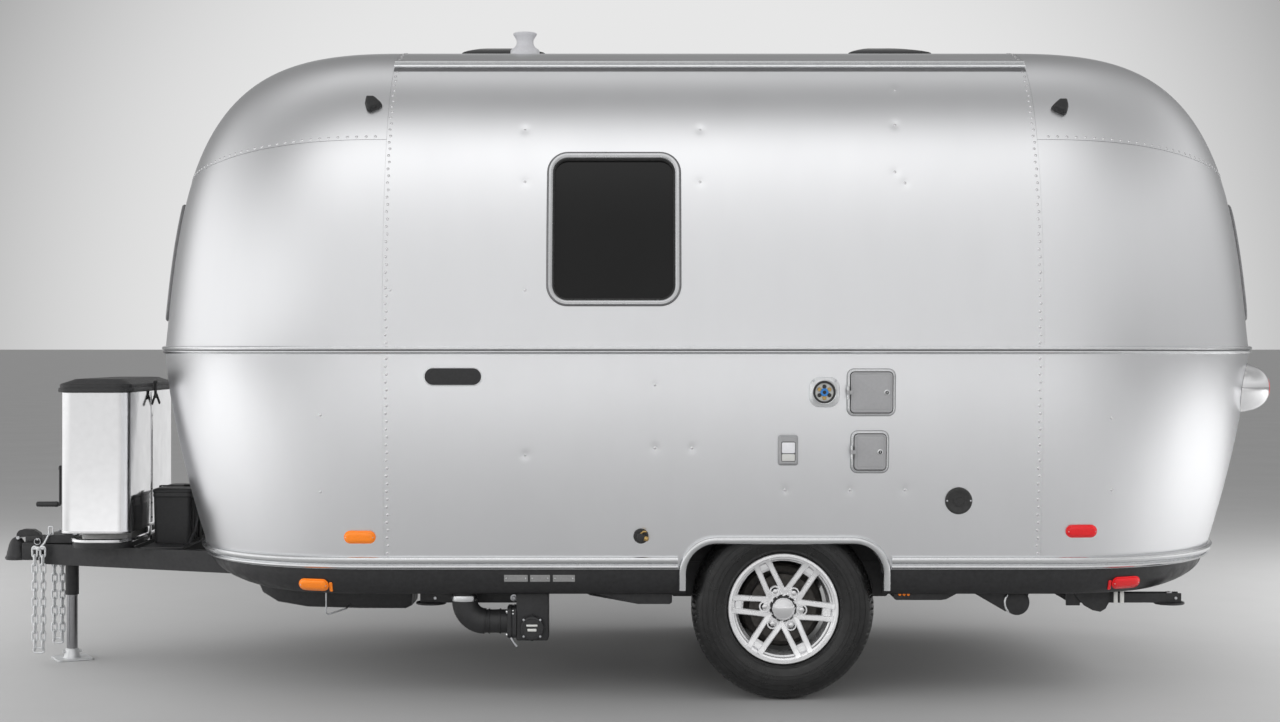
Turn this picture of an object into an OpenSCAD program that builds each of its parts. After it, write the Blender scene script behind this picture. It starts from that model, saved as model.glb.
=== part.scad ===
// Single-axle travel caravan with a riveted aluminium shell.
// Millimetres, +Z up, ground at Z = 0. The tow hitch points to -X and the entry door is on +Y.

/* [Body shell] */
// Length of the straight middle section between the two riveted ring seams
mid_len = 2440; // [1800:10:3600]
// Depth of each rounded end at the belt
end_len = 1010; // [850:5:1200]
// Width over the skin at the belt
body_w = 2300; // [2100:10:2500]
// Height of the belt moulding, where the body is widest
belt_z = 1320; // [1250:5:1400]
// Height of the crown of the roof
roof_z = 2520; // [2450:5:2650]
// Height of the bottom edge of the walls
wall_z = 500; // [480:5:520]
// Thickness of a whole wall, from outer skin to inner lining
wall_t = 45; // [35:1:60]
// How far the side wall tucks in from the belt to its bottom edge
side_tuck = 75; // [40:1:100]
// How far the end wall tucks in from the belt to its bottom edge
end_tuck = 182; // [120:1:220]
// Inward lean of the end wall just above the belt
end_lean = 135; // [0:1:180]
// Squareness of the rounded ends seen from above
plan_power = 2.4; // [2.1:0.1:3]
// Squareness of the side wall into the roof
side_power = 4.2; // [3.5:0.1:5]
// Squareness of the end wall into the roof
end_power = 3.6; // [3:0.1:4.5]
// Centre of the body along X
body_x = 363; // [300:1:420]
// Height of the roof seam above the side walls, as a share of the rise from belt to crown
eave_share = 0.9167; // [0.88:0.0001:0.93]
// Height of the seam of an end's upper dome at the ring seam, as a share of that rise
dome_share = 0.6542; // [0.6:0.0001:0.7]
// Turn of profile angle by which that seam dips at the middle of the end
dome_dip = 7.3; // [0:0.1:9]
// Thickness of the floor
floor_t = 45; // [30:1:60]

/* [Windows and door] */
// Width over a side window's frame
window_w = 495; // [400:5:560]
// Height over a side window's frame, as a share of the rise from belt to crown
window_h_share = 0.4775; // [0.38:0.0005:0.5]
// Corner radius of the window frames
window_r = 76; // [40:1:100]
// Height of the middle of the side windows, as a share of that rise
window_z_share = 0.3717; // [0.35:0.0001:0.39]
// Place of the left window in front of the body's middle
window_left_in = 366; // [200:1:500]
// Place of the right window behind the body's middle
window_right_in = 277; // [200:1:500]
// Width of the end windows
end_window_w = 900; // [800:10:1300]
// Height of the end windows, as a share of the rise from belt to crown
end_window_h_share = 0.3917; // [0.3:0.0001:0.41]
// Height of the middle of the end windows, as a share of that rise
end_window_z_share = 0.2917; // [0.27:0.0001:0.3]
// Visible width of a window frame
frame_w = 22; // [15:1:30]
// Front edge of the entry door in front of the body's middle
door_in = 919; // [860:1:930]
// Width of the entry door
door_w = 680; // [600:5:700]
// Bottom of the entry door
door_z0 = 580; // [570:5:620]
// Top of the entry door, as a share of the rise from belt to crown
door_top_share = 0.6833; // [0.6:0.0001:0.72]
// Gap around the entry door
door_gap = 6; // [5:0.5:10]

/* [Running gear] */
// Axle centre behind the body's middle
axle_back = 269; // [220:1:330]
// Outside diameter of the tyre
tyre_d = 689; // [640:1:720]
// Section width of the tyre
tyre_w = 205; // [185:1:215]
// Bead seat diameter of the wheel
rim_d = 381; // [355:1:410]
// Distance of the tyre's middle plane inside the widest skin
track_in = 218; // [210:1:235]
// Studs on each wheel
stud_count = 6; // [5:1:6]
// Stud circle diameter
stud_pcd = 139.7; // [114.3:0.1:139.7]
// Width of the wheel arch opening
arch_w = 733; // [720:1:780]
// Top of the wheel arch opening
arch_z = 596; // [570:1:640]
// Corner radius of the wheel arch opening
arch_r = 112; // [60:1:140]

/* [Chassis and drawbar] */
// Reach of the coupler's tip in front of the body
nose_reach = 743; // [700:1:830]
// Height of a chassis rail
rail_h = 85; // [80:1:120]
// Width of a chassis rail
rail_w = 50; // [40:1:60]
// Distance of the rail's middle inside the tyre's middle plane
rail_in = 232; // [220:1:250]
// Radius of the hitch ball's socket
ball_socket_r = 25.6; // [25:0.1:26]
// Distance of the jack post behind the coupler's tip
jack_back = 284; // [265:1:300]
// Outside radius of the jack's tube
jack_r = 28; // [25:1:32]
// Side of the jack's square foot plate
foot_side = 150; // [120:1:180]

/* [Gas locker] */
// Distance of the gas bottle cover's front face behind the coupler's tip
locker_back = 340; // [330:1:360]
// Depth of the cover along X
locker_d = 284; // [274:1:290]
// Width of the cover across the caravan
locker_w = 800; // [700:5:900]
// Bottom edge of the cover
locker_z0 = 570; // [560:1:585]
// Top rim of the cover
locker_z1 = 1160; // [1080:1:1190]
// Sheet thickness of the cover
locker_t = 4; // [3:0.5:6]
// Radius of a gas bottle
bottle_r = 124; // [110:1:126]

/* [Hidden] */

$fn = 48;
fit = 0.3;            // standing gap between two pieces that bear on each other
pin_fit = 0.05;       // radial clearance of a pin in its bore
far = 6000;           // reach of a cutting block
height_power = 2.2;   // squareness of the roof's rise, shared by sides and ends
tuck_power = 1.5;     // growth of the tuck below the belt
roof_rise = roof_z - belt_z;
seam_front = body_x - mid_len / 2;
seam_rear = body_x + mid_len / 2;
nose_x = seam_front - end_len - nose_reach;
jack_x = nose_x + jack_back;
locker_x = nose_x + locker_back;
wheel_x = body_x + axle_back;
half_track = body_w / 2 - track_in;
rail_y = half_track - rail_in;
door_x = body_x - door_in;
window_left_x = body_x - window_left_in;
window_right_x = body_x + window_right_in;
// Height of a share of the rise from belt to crown
function rise_z(share) = belt_z + share * roof_rise;
eave_z = rise_z(eave_share);
dome_z = rise_z(dome_share);
window_h = window_h_share * roof_rise;
window_z = rise_z(window_z_share);
end_window_h = end_window_h_share * roof_rise;
end_window_z = rise_z(end_window_z_share);
door_z1 = rise_z(door_top_share);
SIDES = [-1, 1];      // left, then right

// Colours
SKIN = [0.80, 0.81, 0.83];
TRIM = [0.72, 0.73, 0.75];
BLACK = [0.07, 0.07, 0.08];
GLASS = [0.10, 0.10, 0.11];
ZINC = [0.66, 0.67, 0.69];
AMBER = [0.95, 0.45, 0.08];
RED = [0.80, 0.07, 0.08];

// Body surface
// The height parameter u runs from -1 at the wall's bottom to 0 at the belt,
// then in degrees from 0 at the belt to 90 at the crown.
// The plan angle t runs from 0 on the right side, over 90 at the end, to 180 on the left side.
function rise(u) = pow(sin(u), 2 / height_power);
function prof_z(u) = u < 0 ? belt_z + u * (belt_z - wall_z) : belt_z + roof_rise * rise(u);
function prof_w(u) = body_w / 2 * (u < 0 ? 1 : pow(cos(u), 2 / side_power))
    - (u < 0 ? side_tuck * pow(-u, tuck_power) : 0);
function prof_e(u) = u < 0
    ? end_len - end_tuck * pow(-u, tuck_power)
    : end_len * pow(cos(u), 2 / end_power) - end_lean * rise(u) * pow(1 - rise(u), 2);
function u_at(z) = z < belt_z
    ? -(belt_z - z) / (belt_z - wall_z)
    : asin(pow((z - belt_z) / roof_rise, height_power / 2));
slope_step = 0.02;
function slope_z(u) = prof_z(u + slope_step) - prof_z(u - slope_step);
function slope_w(u) = u <= 0 ? 0 : (prof_w(u + slope_step) - prof_w(u - slope_step)) / slope_z(u);
function slope_e(u) = u <= 0 ? 0 : (prof_e(u + slope_step) - prof_e(u - slope_step)) / slope_z(u);
function unit(v) = v / norm(v);
function signed_pow(v, p) = sign(v) * pow(abs(v), p);

// A point of the side wall's section as [distance from the middle plane, height], moved out by off
function side_pt(u, off) = u >= 90
    ? [0, roof_z + off]
    : [prof_w(u), prof_z(u)] + off * unit([1, -slope_w(u)]);

// A point of a rounded end, with X counted outwards from the ring seam, moved out by off
function end_normal(u, t) = unit([
    pow(sin(t), 2 * (plan_power - 1) / plan_power) / prof_e(u),
    signed_pow(cos(t), 2 * (plan_power - 1) / plan_power) / prof_w(u),
    -pow(sin(t), 2) * slope_e(u) / prof_e(u) - pow(cos(t), 2) * slope_w(u) / prof_w(u)]);
function end_pt(u, t, off) = u >= 90
    ? [0, 0, roof_z + off]
    : [prof_e(u) * pow(sin(t), 2 / plan_power),
       prof_w(u) * signed_pow(cos(t), 2 / plan_power),
       prof_z(u)] + off * end_normal(u, t);

// The body's outline seen from above at height parameter u, moved out by off
outline_steps = 32;
function plan_outline(u, off) = concat(
    [for (i = [0:outline_steps]) let (p = end_pt(u, 180 * i / outline_steps, off))
        [seam_rear + p[0], p[1]]],
    [for (i = [0:outline_steps]) let (p = end_pt(u, 180 * i / outline_steps, off))
        [seam_front - p[0], -p[1]]]);

// A closed shell between two grids of points, rows going up and columns going from +Y to -Y.
// With tips given, the last row closes on the two points of tips.
module grid_shell(outer, inner, tips = []) {
    rows = len(outer) - 1;
    cols = len(outer[0]) - 1;
    size = (rows + 1) * (cols + 1);
    function id(i, j, k) = k * size + i * (cols + 1) + j;
    tip = 2 * size;
    points = concat([for (r = outer) each r], [for (r = inner) each r], tips);
    skins = [for (i = [0:rows - 1], j = [0:cols - 1]) each [
        [id(i, j, 0), id(i, j + 1, 0), id(i + 1, j + 1, 0)],
        [id(i, j, 0), id(i + 1, j + 1, 0), id(i + 1, j, 0)],
        [id(i, j, 1), id(i + 1, j + 1, 1), id(i, j + 1, 1)],
        [id(i, j, 1), id(i + 1, j, 1), id(i + 1, j + 1, 1)]]];
    bottom = [for (j = [0:cols - 1]) each [
        [id(0, j + 1, 0), id(0, j, 0), id(0, j, 1)],
        [id(0, j + 1, 0), id(0, j, 1), id(0, j + 1, 1)]]];
    top = tips != [] ? [] : [for (j = [0:cols - 1]) each [
        [id(rows, j, 0), id(rows, j + 1, 0), id(rows, j, 1)],
        [id(rows, j + 1, 0), id(rows, j + 1, 1), id(rows, j, 1)]]];
    edges = [for (i = [0:rows - 1]) each [
        [id(i, 0, 0), id(i + 1, 0, 0), id(i + 1, 0, 1)],
        [id(i, 0, 0), id(i + 1, 0, 1), id(i, 0, 1)],
        [id(i + 1, cols, 0), id(i, cols, 0), id(i, cols, 1)],
        [id(i + 1, cols, 0), id(i, cols, 1), id(i + 1, cols, 1)]]];
    fan = tips == [] ? [] : concat(
        [for (j = [0:cols - 1]) each [
            [id(rows, j, 0), id(rows, j + 1, 0), tip],
            [id(rows, j, 1), tip + 1, id(rows, j + 1, 1)]]],
        [[id(rows, 0, 0), tip, tip + 1], [id(rows, 0, 0), tip + 1, id(rows, 0, 1)],
         [tip, id(rows, cols, 0), id(rows, cols, 1)], [tip, id(rows, cols, 1), tip + 1]]);
    polyhedron(points, concat(skins, bottom, top, edges, fan), convexity = 8);
}

// A strip of a rounded end from height parameter u0 to u1, between the offsets low and high.
// dip0 and dip1 lower the two edges at the middle of the end.
module end_skin(u0, u1, low, high, rows = 4, cols = 32, t0 = 0, t1 = 180, dip0 = 0, dip1 = 0) {
    closed = u1 >= 90;
    last = closed ? rows - 1 : rows;
    function u_of(i, t) =
        let (a = u0 - dip0 * pow(sin(t), 2), b = u1 - dip1 * pow(sin(t), 2)) a + (b - a) * i / rows;
    function grid(off) = [for (i = [0:last]) [for (j = [0:cols])
        let (t = t0 + (t1 - t0) * j / cols) end_pt(u_of(i, t), t, off)]];
    grid_shell(grid(high), grid(low), closed ? [[0, 0, roof_z + high], [0, 0, roof_z + low]] : []);
}

module rear_end() translate([seam_rear, 0, 0]) children();
module front_end() translate([seam_front, 0, 0]) mirror([1, 0, 0]) children();
module both_ends() {
    rear_end() children();
    front_end() children();
}
module on_left() mirror([0, 1, 0]) children();
module both_sides() {
    children();
    on_left() children();
}

// A strip of the right side wall from x0 to x1 and u0 to u1, between the offsets low and high
module side_skin(x0, x1, u0, u1, low, high, rows = 6) {
    us = [for (i = [0:rows]) u0 + (u1 - u0) * i / rows];
    translate([x0, 0, 0]) rotate([90, 0, 90]) linear_extrude(x1 - x0)
        polygon(concat([for (u = us) side_pt(u, high)],
                       [for (i = [rows:-1:0]) side_pt(us[i], low)]));
}

// Flat outlines
corner_steps = 6;
function round_rect(w, h, r) = [for (c = [[1, 1, 0], [-1, 1, 90], [-1, -1, 180], [1, -1, 270]])
    for (i = [0:corner_steps]) let (a = c[2] + 90 * i / corner_steps)
        [c[0] * (w / 2 - r) + r * cos(a), c[1] * (h / 2 - r) + r * sin(a)]];
// Extrudes an outline drawn as [x, z] through the right side
module through_side() rotate([90, 0, 0]) translate([0, 0, -far / 2]) linear_extrude(far / 2) children();
// Extrudes an outline drawn as [y, z] out of a rounded end
module through_end() rotate([90, 0, 90]) linear_extrude(far / 2) children();

// Window and door outlines
window_lap = 10;      // overlap of a window frame on the wall around its hole
glass_deep = -20;     // inner face of the glass, from the skin
glass_high = -8;      // outer face of the glass, from the skin
frame_high = 12;      // how proud the frames stand
module side_window(x, inset) translate([x, window_z])
    polygon(round_rect(window_w - 2 * inset, window_h - 2 * inset, window_r - inset));
module end_window(inset) translate([0, end_window_z])
    polygon(round_rect(end_window_w - 2 * inset, end_window_h - 2 * inset, window_r - inset));

hinge_stand = 18;     // the door's hinge axis stands this far outside the belt
hinge_x = door_x - 4;
hinge_y = body_w / 2 + hinge_stand;
door_r = 90;
module door_region(gap) intersection() {
    through_side() translate([door_x + door_w / 2, (door_z0 + door_z1) / 2])
        polygon(round_rect(door_w + 2 * gap, door_z1 - door_z0 + 2 * gap, door_r));
    translate([hinge_x, hinge_y, 0]) cylinder(r = door_x + door_w - hinge_x + gap, h = far / 2, $fn = 96);
}
door_window_w = 340;
door_window_h = end_window_h;
door_window_r = 60;
door_window_z = rise_z(0.3083);
module door_window(inset) translate([door_x + door_w / 2, door_window_z])
    polygon(round_rect(door_window_w - 2 * inset, door_window_h - 2 * inset, door_window_r - inset));

// Hatches of the left wall: [x of the middle, z of the middle, width, height]
HATCH_UPPER = [wheel_x + 314, 1160, 178, 173];
HATCH_LOWER = [wheel_x + 310, 940, 140, 156];
hatch_r = 26;
hatch_flange = 15;    // width of the flange around a hatch opening
hatch_rim = 14;       // how proud the flange stands
module hatch_outline(h, inset) translate([h[0], h[1]])
    polygon(round_rect(h[2] - 2 * inset, h[3] - 2 * inset, hatch_r - inset / 2));

// Wheel arch outline, open at the bottom
arch_open = 200;      // how far the arch outline runs down past the wall
module arch_outline(grow) translate([wheel_x, arch_z + grow - (arch_z - wall_z + arch_open) / 2])
    polygon(round_rect(arch_w + 2 * grow, arch_z - wall_z + arch_open, arch_r + grow));

// Shell panels
low_rows = 6;
up_rows = 9;
u_eave = u_at(eave_z);
u_dome = u_at(dome_z);
module side_lower_wall() difference() {
    side_skin(seam_front, seam_rear, -1, 0, -wall_t, 0, low_rows);
    through_side() arch_outline(0);
}
module side_upper_wall() side_skin(seam_front, seam_rear, 0, u_eave, -wall_t, 0, up_rows);

module side_lower_left() color(SKIN) on_left() difference() {
    side_lower_wall();
    for (h = [HATCH_UPPER, HATCH_LOWER]) through_side() hatch_outline(h, hatch_flange - fit);
}
module side_lower_right() color(SKIN) difference() {
    side_lower_wall();
    door_region(door_gap);
}
module side_upper_left() color(SKIN) on_left() difference() {
    side_upper_wall();
    through_side() side_window(window_left_x, window_lap);
}
module side_upper_right() color(SKIN) difference() {
    side_upper_wall();
    through_side() side_window(window_right_x, window_lap);
    door_region(door_gap);
}

// Roof vents: [x of the middle], on the roof's middle line
VENTS = [seam_front + 379, seam_rear - 443];
vent_hole = 280;
vent_base = 360;
vent_base_h = 24;
module roof_panel() color(SKIN) difference() {
    us = [for (i = [0:6]) u_eave + (90 - u_eave) * i / 6];
    half_out = [for (u = us) side_pt(u, 0)];
    half_in = [for (u = us) side_pt(u, -wall_t)];
    translate([seam_front, 0, 0]) rotate([90, 0, 90]) linear_extrude(mid_len) polygon(concat(
        half_out, [for (i = [5:-1:0]) [-half_out[i][0], half_out[i][1]]],
        [for (p = half_in) [-p[0], p[1]]], [for (i = [5:-1:0]) half_in[i]]));
    for (x = VENTS) translate([x, 0, roof_z])
        cube([vent_hole, vent_hole, 4 * wall_t], center = true);
}

module end_lower() end_skin(-1, 0, -wall_t, 0, low_rows);
module end_middle() difference() {
    end_skin(0, u_dome, -wall_t, 0, 7, dip1 = dome_dip);
    through_end() end_window(window_lap);
}
module end_dome() end_skin(u_dome, 90, -wall_t, 0, 10, dip0 = dome_dip);
module end_front_lower() color(SKIN) front_end() end_lower();
module end_front_middle() color(SKIN) front_end() end_middle();
module end_front_dome() color(SKIN) front_end() end_dome();
module end_rear_lower() color(SKIN) rear_end() end_lower();
module end_rear_middle() color(SKIN) rear_end() end_middle();
module end_rear_dome() color(SKIN) rear_end() end_dome();

// Floor and wheel housings
housing_l = 820;      // outside length of a wheel housing
housing_room = 147;   // from the tyre's middle plane in to the housing's inner face
housing_y = half_track - housing_room;
housing_z = 770;      // top of a wheel housing
housing_t = 12;
module housing_block(grow) translate([wheel_x - housing_l / 2 - grow, housing_y - grow, wall_z - 1])
    cube([housing_l + 2 * grow, body_w, housing_z - wall_z + 1 + grow]);
module floor_slab() color(BLACK) difference() {
    translate([0, 0, wall_z]) linear_extrude(floor_t) polygon(plan_outline(-1, -wall_t - fit));
    both_sides() housing_block(fit);
}
module wheel_housings() color(BLACK) both_sides() intersection() {
    translate([0, 0, wall_z]) difference() {
        translate([0, 0, -wall_z]) housing_block(0);
        translate([wheel_x - housing_l / 2 + housing_t, housing_y + housing_t, -wall_z])
            cube([housing_l - 2 * housing_t, body_w, housing_z - housing_t]);
    }
    side_skin(wheel_x - housing_l, wheel_x + housing_l, -1, -0.5, -body_w / 2 + 2 * rail_w,
        -wall_t - fit, low_rows);
}

// Skirt under the walls, rolled in at its lower edge and more so round the ends
skirt_inset = 8;
skirt_t = 20;
skirt_h = 97;
skirt_turn = 72;      // angle through which the skirt's section rolls in
skirt_tuck_side = 55;
skirt_tuck_end = 260;
function skirt_tuck(t) = skirt_tuck_side + (skirt_tuck_end - skirt_tuck_side) * pow(sin(t), 2);
function skirt_drop(i) = skirt_h * sin(skirt_turn * i) / sin(skirt_turn);
function skirt_in(i, t) = skirt_inset + skirt_tuck(t) * (1 - cos(skirt_turn * i));
skirt_rows = 4;
skirt_step = 7.5;     // plan angle from one column of the skirt to the next
module skirt_end(low, high, t1) {
    function grid(off) = [for (k = [skirt_rows:-1:0]) let (i = k / skirt_rows)
        [for (t = [0:skirt_step:t1]) end_pt(-1, t, off - skirt_in(i, t)) - [0, 0, skirt_drop(i)]]];
    grid_shell(grid(high), grid(low));
}
module skirt_side(x0, x1) {
    function line(off) = [for (k = [0:skirt_rows]) let (i = k / skirt_rows)
        [prof_w(-1) + off - skirt_in(i, 0), wall_z - skirt_drop(i)]];
    back = line(-skirt_t);
    translate([x0, 0, 0]) rotate([90, 0, 90]) linear_extrude(x1 - x0)
        polygon(concat(line(0), [for (k = [skirt_rows:-1:0]) back[k]]));
}
seam_gap = 0.6;       // open joint between a rail on the side and the one round the end
beam_clear = 3;       // gap round a drawbar beam where it passes the skirt
notch_drop = 80;      // how far the skirt's notches run on below the beams
module skirt() color(BLACK) {
    difference() {
        both_ends() skirt_end(-skirt_t, 0, 180);
        tongue_blocks(beam_clear, notch_drop);
    }
    both_sides() {
        skirt_side(seam_front + seam_gap, wheel_x - arch_w / 2 - seam_gap);
        skirt_side(wheel_x + arch_w / 2 + seam_gap, seam_rear - seam_gap);
    }
}

// Rails and trims on the skin
belt_half = 9;        // half height of the belt moulding
belt_high = 15;
rub_z0 = 502;
rub_z1 = 550;
rub_high = 22;
trim_w = 30;          // width of the wheel arch trim
trim_high = 27;
trim_z0 = 421;        // lower end of the arch trim's legs
drip_high = 15;
drip_half = 1.2;      // half width of the drip rail, in degrees of the profile
u_belt0 = u_at(belt_z - belt_half);
u_belt1 = u_at(belt_z + belt_half);
module belt_bar(x0, x1) {
    side_skin(x0, x1, u_belt0, 0, fit, belt_high, 1);
    side_skin(x0, x1, 0, u_belt1, fit, belt_high, 1);
}
module belt_rail() color(TRIM) {
    both_ends() end_skin(u_belt0, u_belt1, 3 * fit, belt_high, 2);
    on_left() belt_bar(seam_front + seam_gap, seam_rear - seam_gap);
    belt_bar(seam_front + seam_gap, door_x - 5 * door_gap);
    belt_bar(door_x + door_w + 2 * door_gap, seam_rear - seam_gap);
}
module rub_bar(x0, x1) side_skin(x0, x1, u_at(rub_z0), u_at(rub_z1), fit, rub_high, 2);
module rub_rail() color(TRIM) {
    both_ends() end_skin(u_at(rub_z0), u_at(rub_z1), fit, rub_high, 2);
    both_sides() {
        rub_bar(seam_front + seam_gap, wheel_x - arch_w / 2 - trim_w - seam_gap);
        rub_bar(wheel_x + arch_w / 2 + trim_w + seam_gap, seam_rear - seam_gap);
    }
}
module arch_trim() intersection() {
    through_side() difference() {
        arch_outline(trim_w);
        arch_outline(0);
        translate([wheel_x - far / 2, -far]) square([far, far + trim_z0]);
    }
    side_skin(wheel_x - arch_w, wheel_x + arch_w, u_at(trim_z0 - 10), u_at(arch_z + 2 * trim_w),
        fit, trim_high);
}
module wall_trims() color(TRIM) both_sides() {
    arch_trim();
    side_skin(seam_front + seam_gap, seam_rear - seam_gap, u_eave - drip_half, u_eave + drip_half,
        fit, drip_high, 2);
}

// Windows
module window_frames() color(TRIM) {
    on_left() side_frame(window_left_x);
    side_frame(window_right_x);
    both_ends() intersection() {
        end_skin(0, u_dome, fit, frame_high, 7, dip1 = dome_dip);
        through_end() difference() {
            end_window(0);
            end_window(frame_w);
        }
    }
}
module side_frame(x) intersection() {
    side_skin(x - window_w, x + window_w, 0, u_eave, fit, frame_high, up_rows);
    through_side() difference() {
        side_window(x, 0);
        side_window(x, frame_w);
    }
}
module side_pane(x) intersection() {
    side_skin(x - window_w, x + window_w, 0, u_eave, glass_deep, glass_high, up_rows);
    through_side() side_window(x, window_lap + fit);
}
module window_glass() color(GLASS) {
    on_left() side_pane(window_left_x);
    side_pane(window_right_x);
    both_ends() intersection() {
        end_skin(0, u_dome, glass_deep, glass_high, 7, dip1 = dome_dip);
        through_end() end_window(window_lap + fit);
    }
}

// A pin hinge of n equal knuckles: the fixed half carries the pin and the outer knuckles
module knuckle_pin(r, pin_r, len) {
    cylinder(r = pin_r, h = 3 * len, center = true);
    for (s = SIDES) translate([0, 0, s * len]) cylinder(r = r, h = len - 2 * fit, center = true);
}
module knuckle_eye(r, pin_r, len) difference() {
    cylinder(r = r, h = len - 2 * fit, center = true);
    cylinder(r = pin_r + pin_fit, h = 2 * len, center = true);
}

// Entry door
DOOR_HINGES = [belt_z - 300, rise_z(0.25)];
door_knuckle_r = 11;
door_pin_r = 6;
door_knuckle = 32;
leaf_high = 8;
leaf_l = 70;
arm_t = 8;
module door() color(SKIN) difference() {
    intersection() {
        union() {
            side_skin(seam_front, seam_rear, -1, 0, -wall_t, 0, low_rows);
            side_upper_wall();
        }
        door_region(0);
    }
    through_side() door_window(0);
}
module door_glass() color(GLASS) intersection() {
    side_skin(door_x, door_x + door_w, 0, u_eave, glass_deep, glass_high, up_rows);
    through_side() door_window(fit);
}
module door_leaf(z, x0, half) intersection() {
    side_skin(x0, x0 + leaf_l, u_at(z - 2 * half), u_at(z + 2 * half), fit, leaf_high, 4);
    through_side() translate([x0 + leaf_l / 2, z]) polygon(round_rect(leaf_l, 2 * half, 10));
}
// An arm from a leaf on the skin out to the hinge axis
module door_arm(z, x0, x1, h) {
    y0 = min(side_pt(u_at(z - h), 0)[0], side_pt(u_at(z + h), 0)[0]) + leaf_high - 1;
    translate([min(x0, x1), y0, z - h / 2]) cube([abs(x1 - x0), hinge_y + arm_t / 2 - y0, h]);
}
module door_hinges() color(TRIM) for (z = DOOR_HINGES) {
    translate([hinge_x, hinge_y, z]) knuckle_pin(door_knuckle_r, door_pin_r, door_knuckle);
    door_leaf(z, hinge_x - leaf_l - 14, 1.5 * door_knuckle);
    for (s = SIDES)
        door_arm(z + s * door_knuckle, hinge_x - 40, hinge_x - door_pin_r - 1, door_knuckle - 4);
}
handle_x = door_x + door_w - 105;
handle_z = belt_z - 190;
handle_half = 60;     // half the distance between the handle's two posts
handle_stand = 28;
handle_plate = 12;
module door_hardware() color(TRIM) {
    for (z = DOOR_HINGES) {
        translate([hinge_x, hinge_y, z]) knuckle_eye(door_knuckle_r, door_pin_r, door_knuckle);
        door_leaf(z, hinge_x + 18, door_knuckle / 2 - 2);
        door_arm(z, hinge_x + door_pin_r + 2, hinge_x + 50, door_knuckle - 8);
    }
    belt_bar(door_x + 14 + leaf_l, door_x + door_w - door_gap);
    intersection() {
        side_skin(handle_x - handle_half, handle_x + handle_half, u_at(handle_z - 2 * handle_half),
            u_at(handle_z + 2 * handle_half), fit, handle_plate, 3);
        through_side() translate([handle_x, handle_z]) polygon(round_rect(84, 190, 20));
    }
    handle_y = prof_w(u_at(handle_z)) + handle_stand;
    for (s = SIDES) {
        post_y = prof_w(u_at(handle_z + s * handle_half)) + handle_plate / 2;
        translate([handle_x, post_y, handle_z + s * handle_half]) rotate([-90, 0, 0])
            cylinder(r = 7, h = handle_y - post_y);
    }
    translate([handle_x, handle_y, handle_z]) cylinder(r = 9, h = 150, center = true);
}

// Hatch doors with a pin hinge on their front edge
plate_in = 9;         // margin of the hatch's plate inside the flange
plate_low = 14.6;
plate_high = 22;
hatch_knuckle_r = 5;
hatch_pin_r = 2.5;
hatch_knuckle = 16;
function hatch_axis_x(h) = h[0] - h[2] / 2 + plate_in - 8;
hatch_stand = 12;     // height of the hatch's hinge axis over its flange
function hatch_axis_y(h) = prof_w(u_at(h[1] + h[3] / 2)) + hatch_rim + hatch_stand;
module hatch_patch(h, low, high) intersection() {
    side_skin(h[0] - h[2], h[0] + h[2], u_at(h[1] - h[3]), u_at(min(h[1] + h[3], belt_z - 1)),
        low, high);
    through_side() children();
}
module hatch_frame(h) {
    hatch_patch(h, fit, hatch_rim) difference() {
        hatch_outline(h, 0);
        hatch_outline(h, hatch_flange + 6);
    }
    hatch_patch(h, -wall_t, fit + 1) difference() {
        hatch_outline(h, hatch_flange);
        hatch_outline(h, hatch_flange + 6);
    }
    translate([hatch_axis_x(h), hatch_axis_y(h), h[1]]) {
        knuckle_pin(hatch_knuckle_r, hatch_pin_r, hatch_knuckle);
        lug = hatch_axis_y(h) - prof_w(u_at(h[1] - hatch_knuckle * 1.5)) - hatch_rim + 4;
        for (s = SIDES) translate([-2, -lug, s * hatch_knuckle - hatch_knuckle / 2 + 1])
            cube([4, lug, hatch_knuckle - 2]);
    }
}
module hatch_frames() color(TRIM) on_left() {
    hatch_frame(HATCH_UPPER);
    hatch_frame(HATCH_LOWER);
}
module hatch_door(h) on_left() {
    hatch_patch(h, plate_low, plate_high) hatch_outline(h, plate_in);
    translate([hatch_axis_x(h), hatch_axis_y(h), h[1]]) {
        knuckle_eye(hatch_knuckle_r, hatch_pin_r, hatch_knuckle);
        web = hatch_axis_y(h) - prof_w(u_at(h[1])) - plate_high + 3;
        translate([hatch_pin_r + 1, -web, -hatch_knuckle / 2 + 1])
            cube([14, web, hatch_knuckle - 2]);
    }
    lock_x = h[0] + h[2] / 2 - plate_in - 24;
    translate([lock_x, side_pt(u_at(h[1]), plate_low + 1)[0], h[1]]) rotate([-90, 0, 0])
        cylinder(r = 9, h = 14);
}
module hatch_upper() color(TRIM) hatch_door(HATCH_UPPER);
module hatch_lower() color(TRIM) hatch_door(HATCH_LOWER);

// Small fittings of the left wall, each a patch raised from the skin
module patch(x, z, w, h, low, high) intersection() {
    side_skin(x - w, x + w, u_at(z - h), u_at(min(z + h, belt_z - 1)), low, high, 4);
    through_side() translate([x, z]) children();
}
WATER = [wheel_x + 141, 1161];
SOCKET = [wheel_x + 8, 946];
FLUE = [seam_rear - 309, 758];
VALVE = [wheel_x - 535, 626];
water_r = 40;
module side_fittings() color(TRIM) on_left() {
    difference() {
        patch(WATER[0], WATER[1], 112, 112, fit, 9) polygon(round_rect(112, 112, 38));
        translate([WATER[0], 0, WATER[1]]) rotate([-90, 0, 0]) cylinder(r = water_r, h = body_w);
    }
    patch(SOCKET[0], SOCKET[1], 74, 112, fit, 24) polygon(round_rect(74, 112, 10));
    patch(FLUE[0], FLUE[1], 100, 100, fit, 12) circle(r = 50);
    patch(VALVE[0], VALVE[1], 60, 60, fit, 10) circle(r = 28);
    translate([VALVE[0], side_pt(u_at(VALVE[1]), 8)[0], VALVE[1]]) rotate([-90, 0, 0])
        cylinder(r = 14, h = 26);
}

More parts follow.
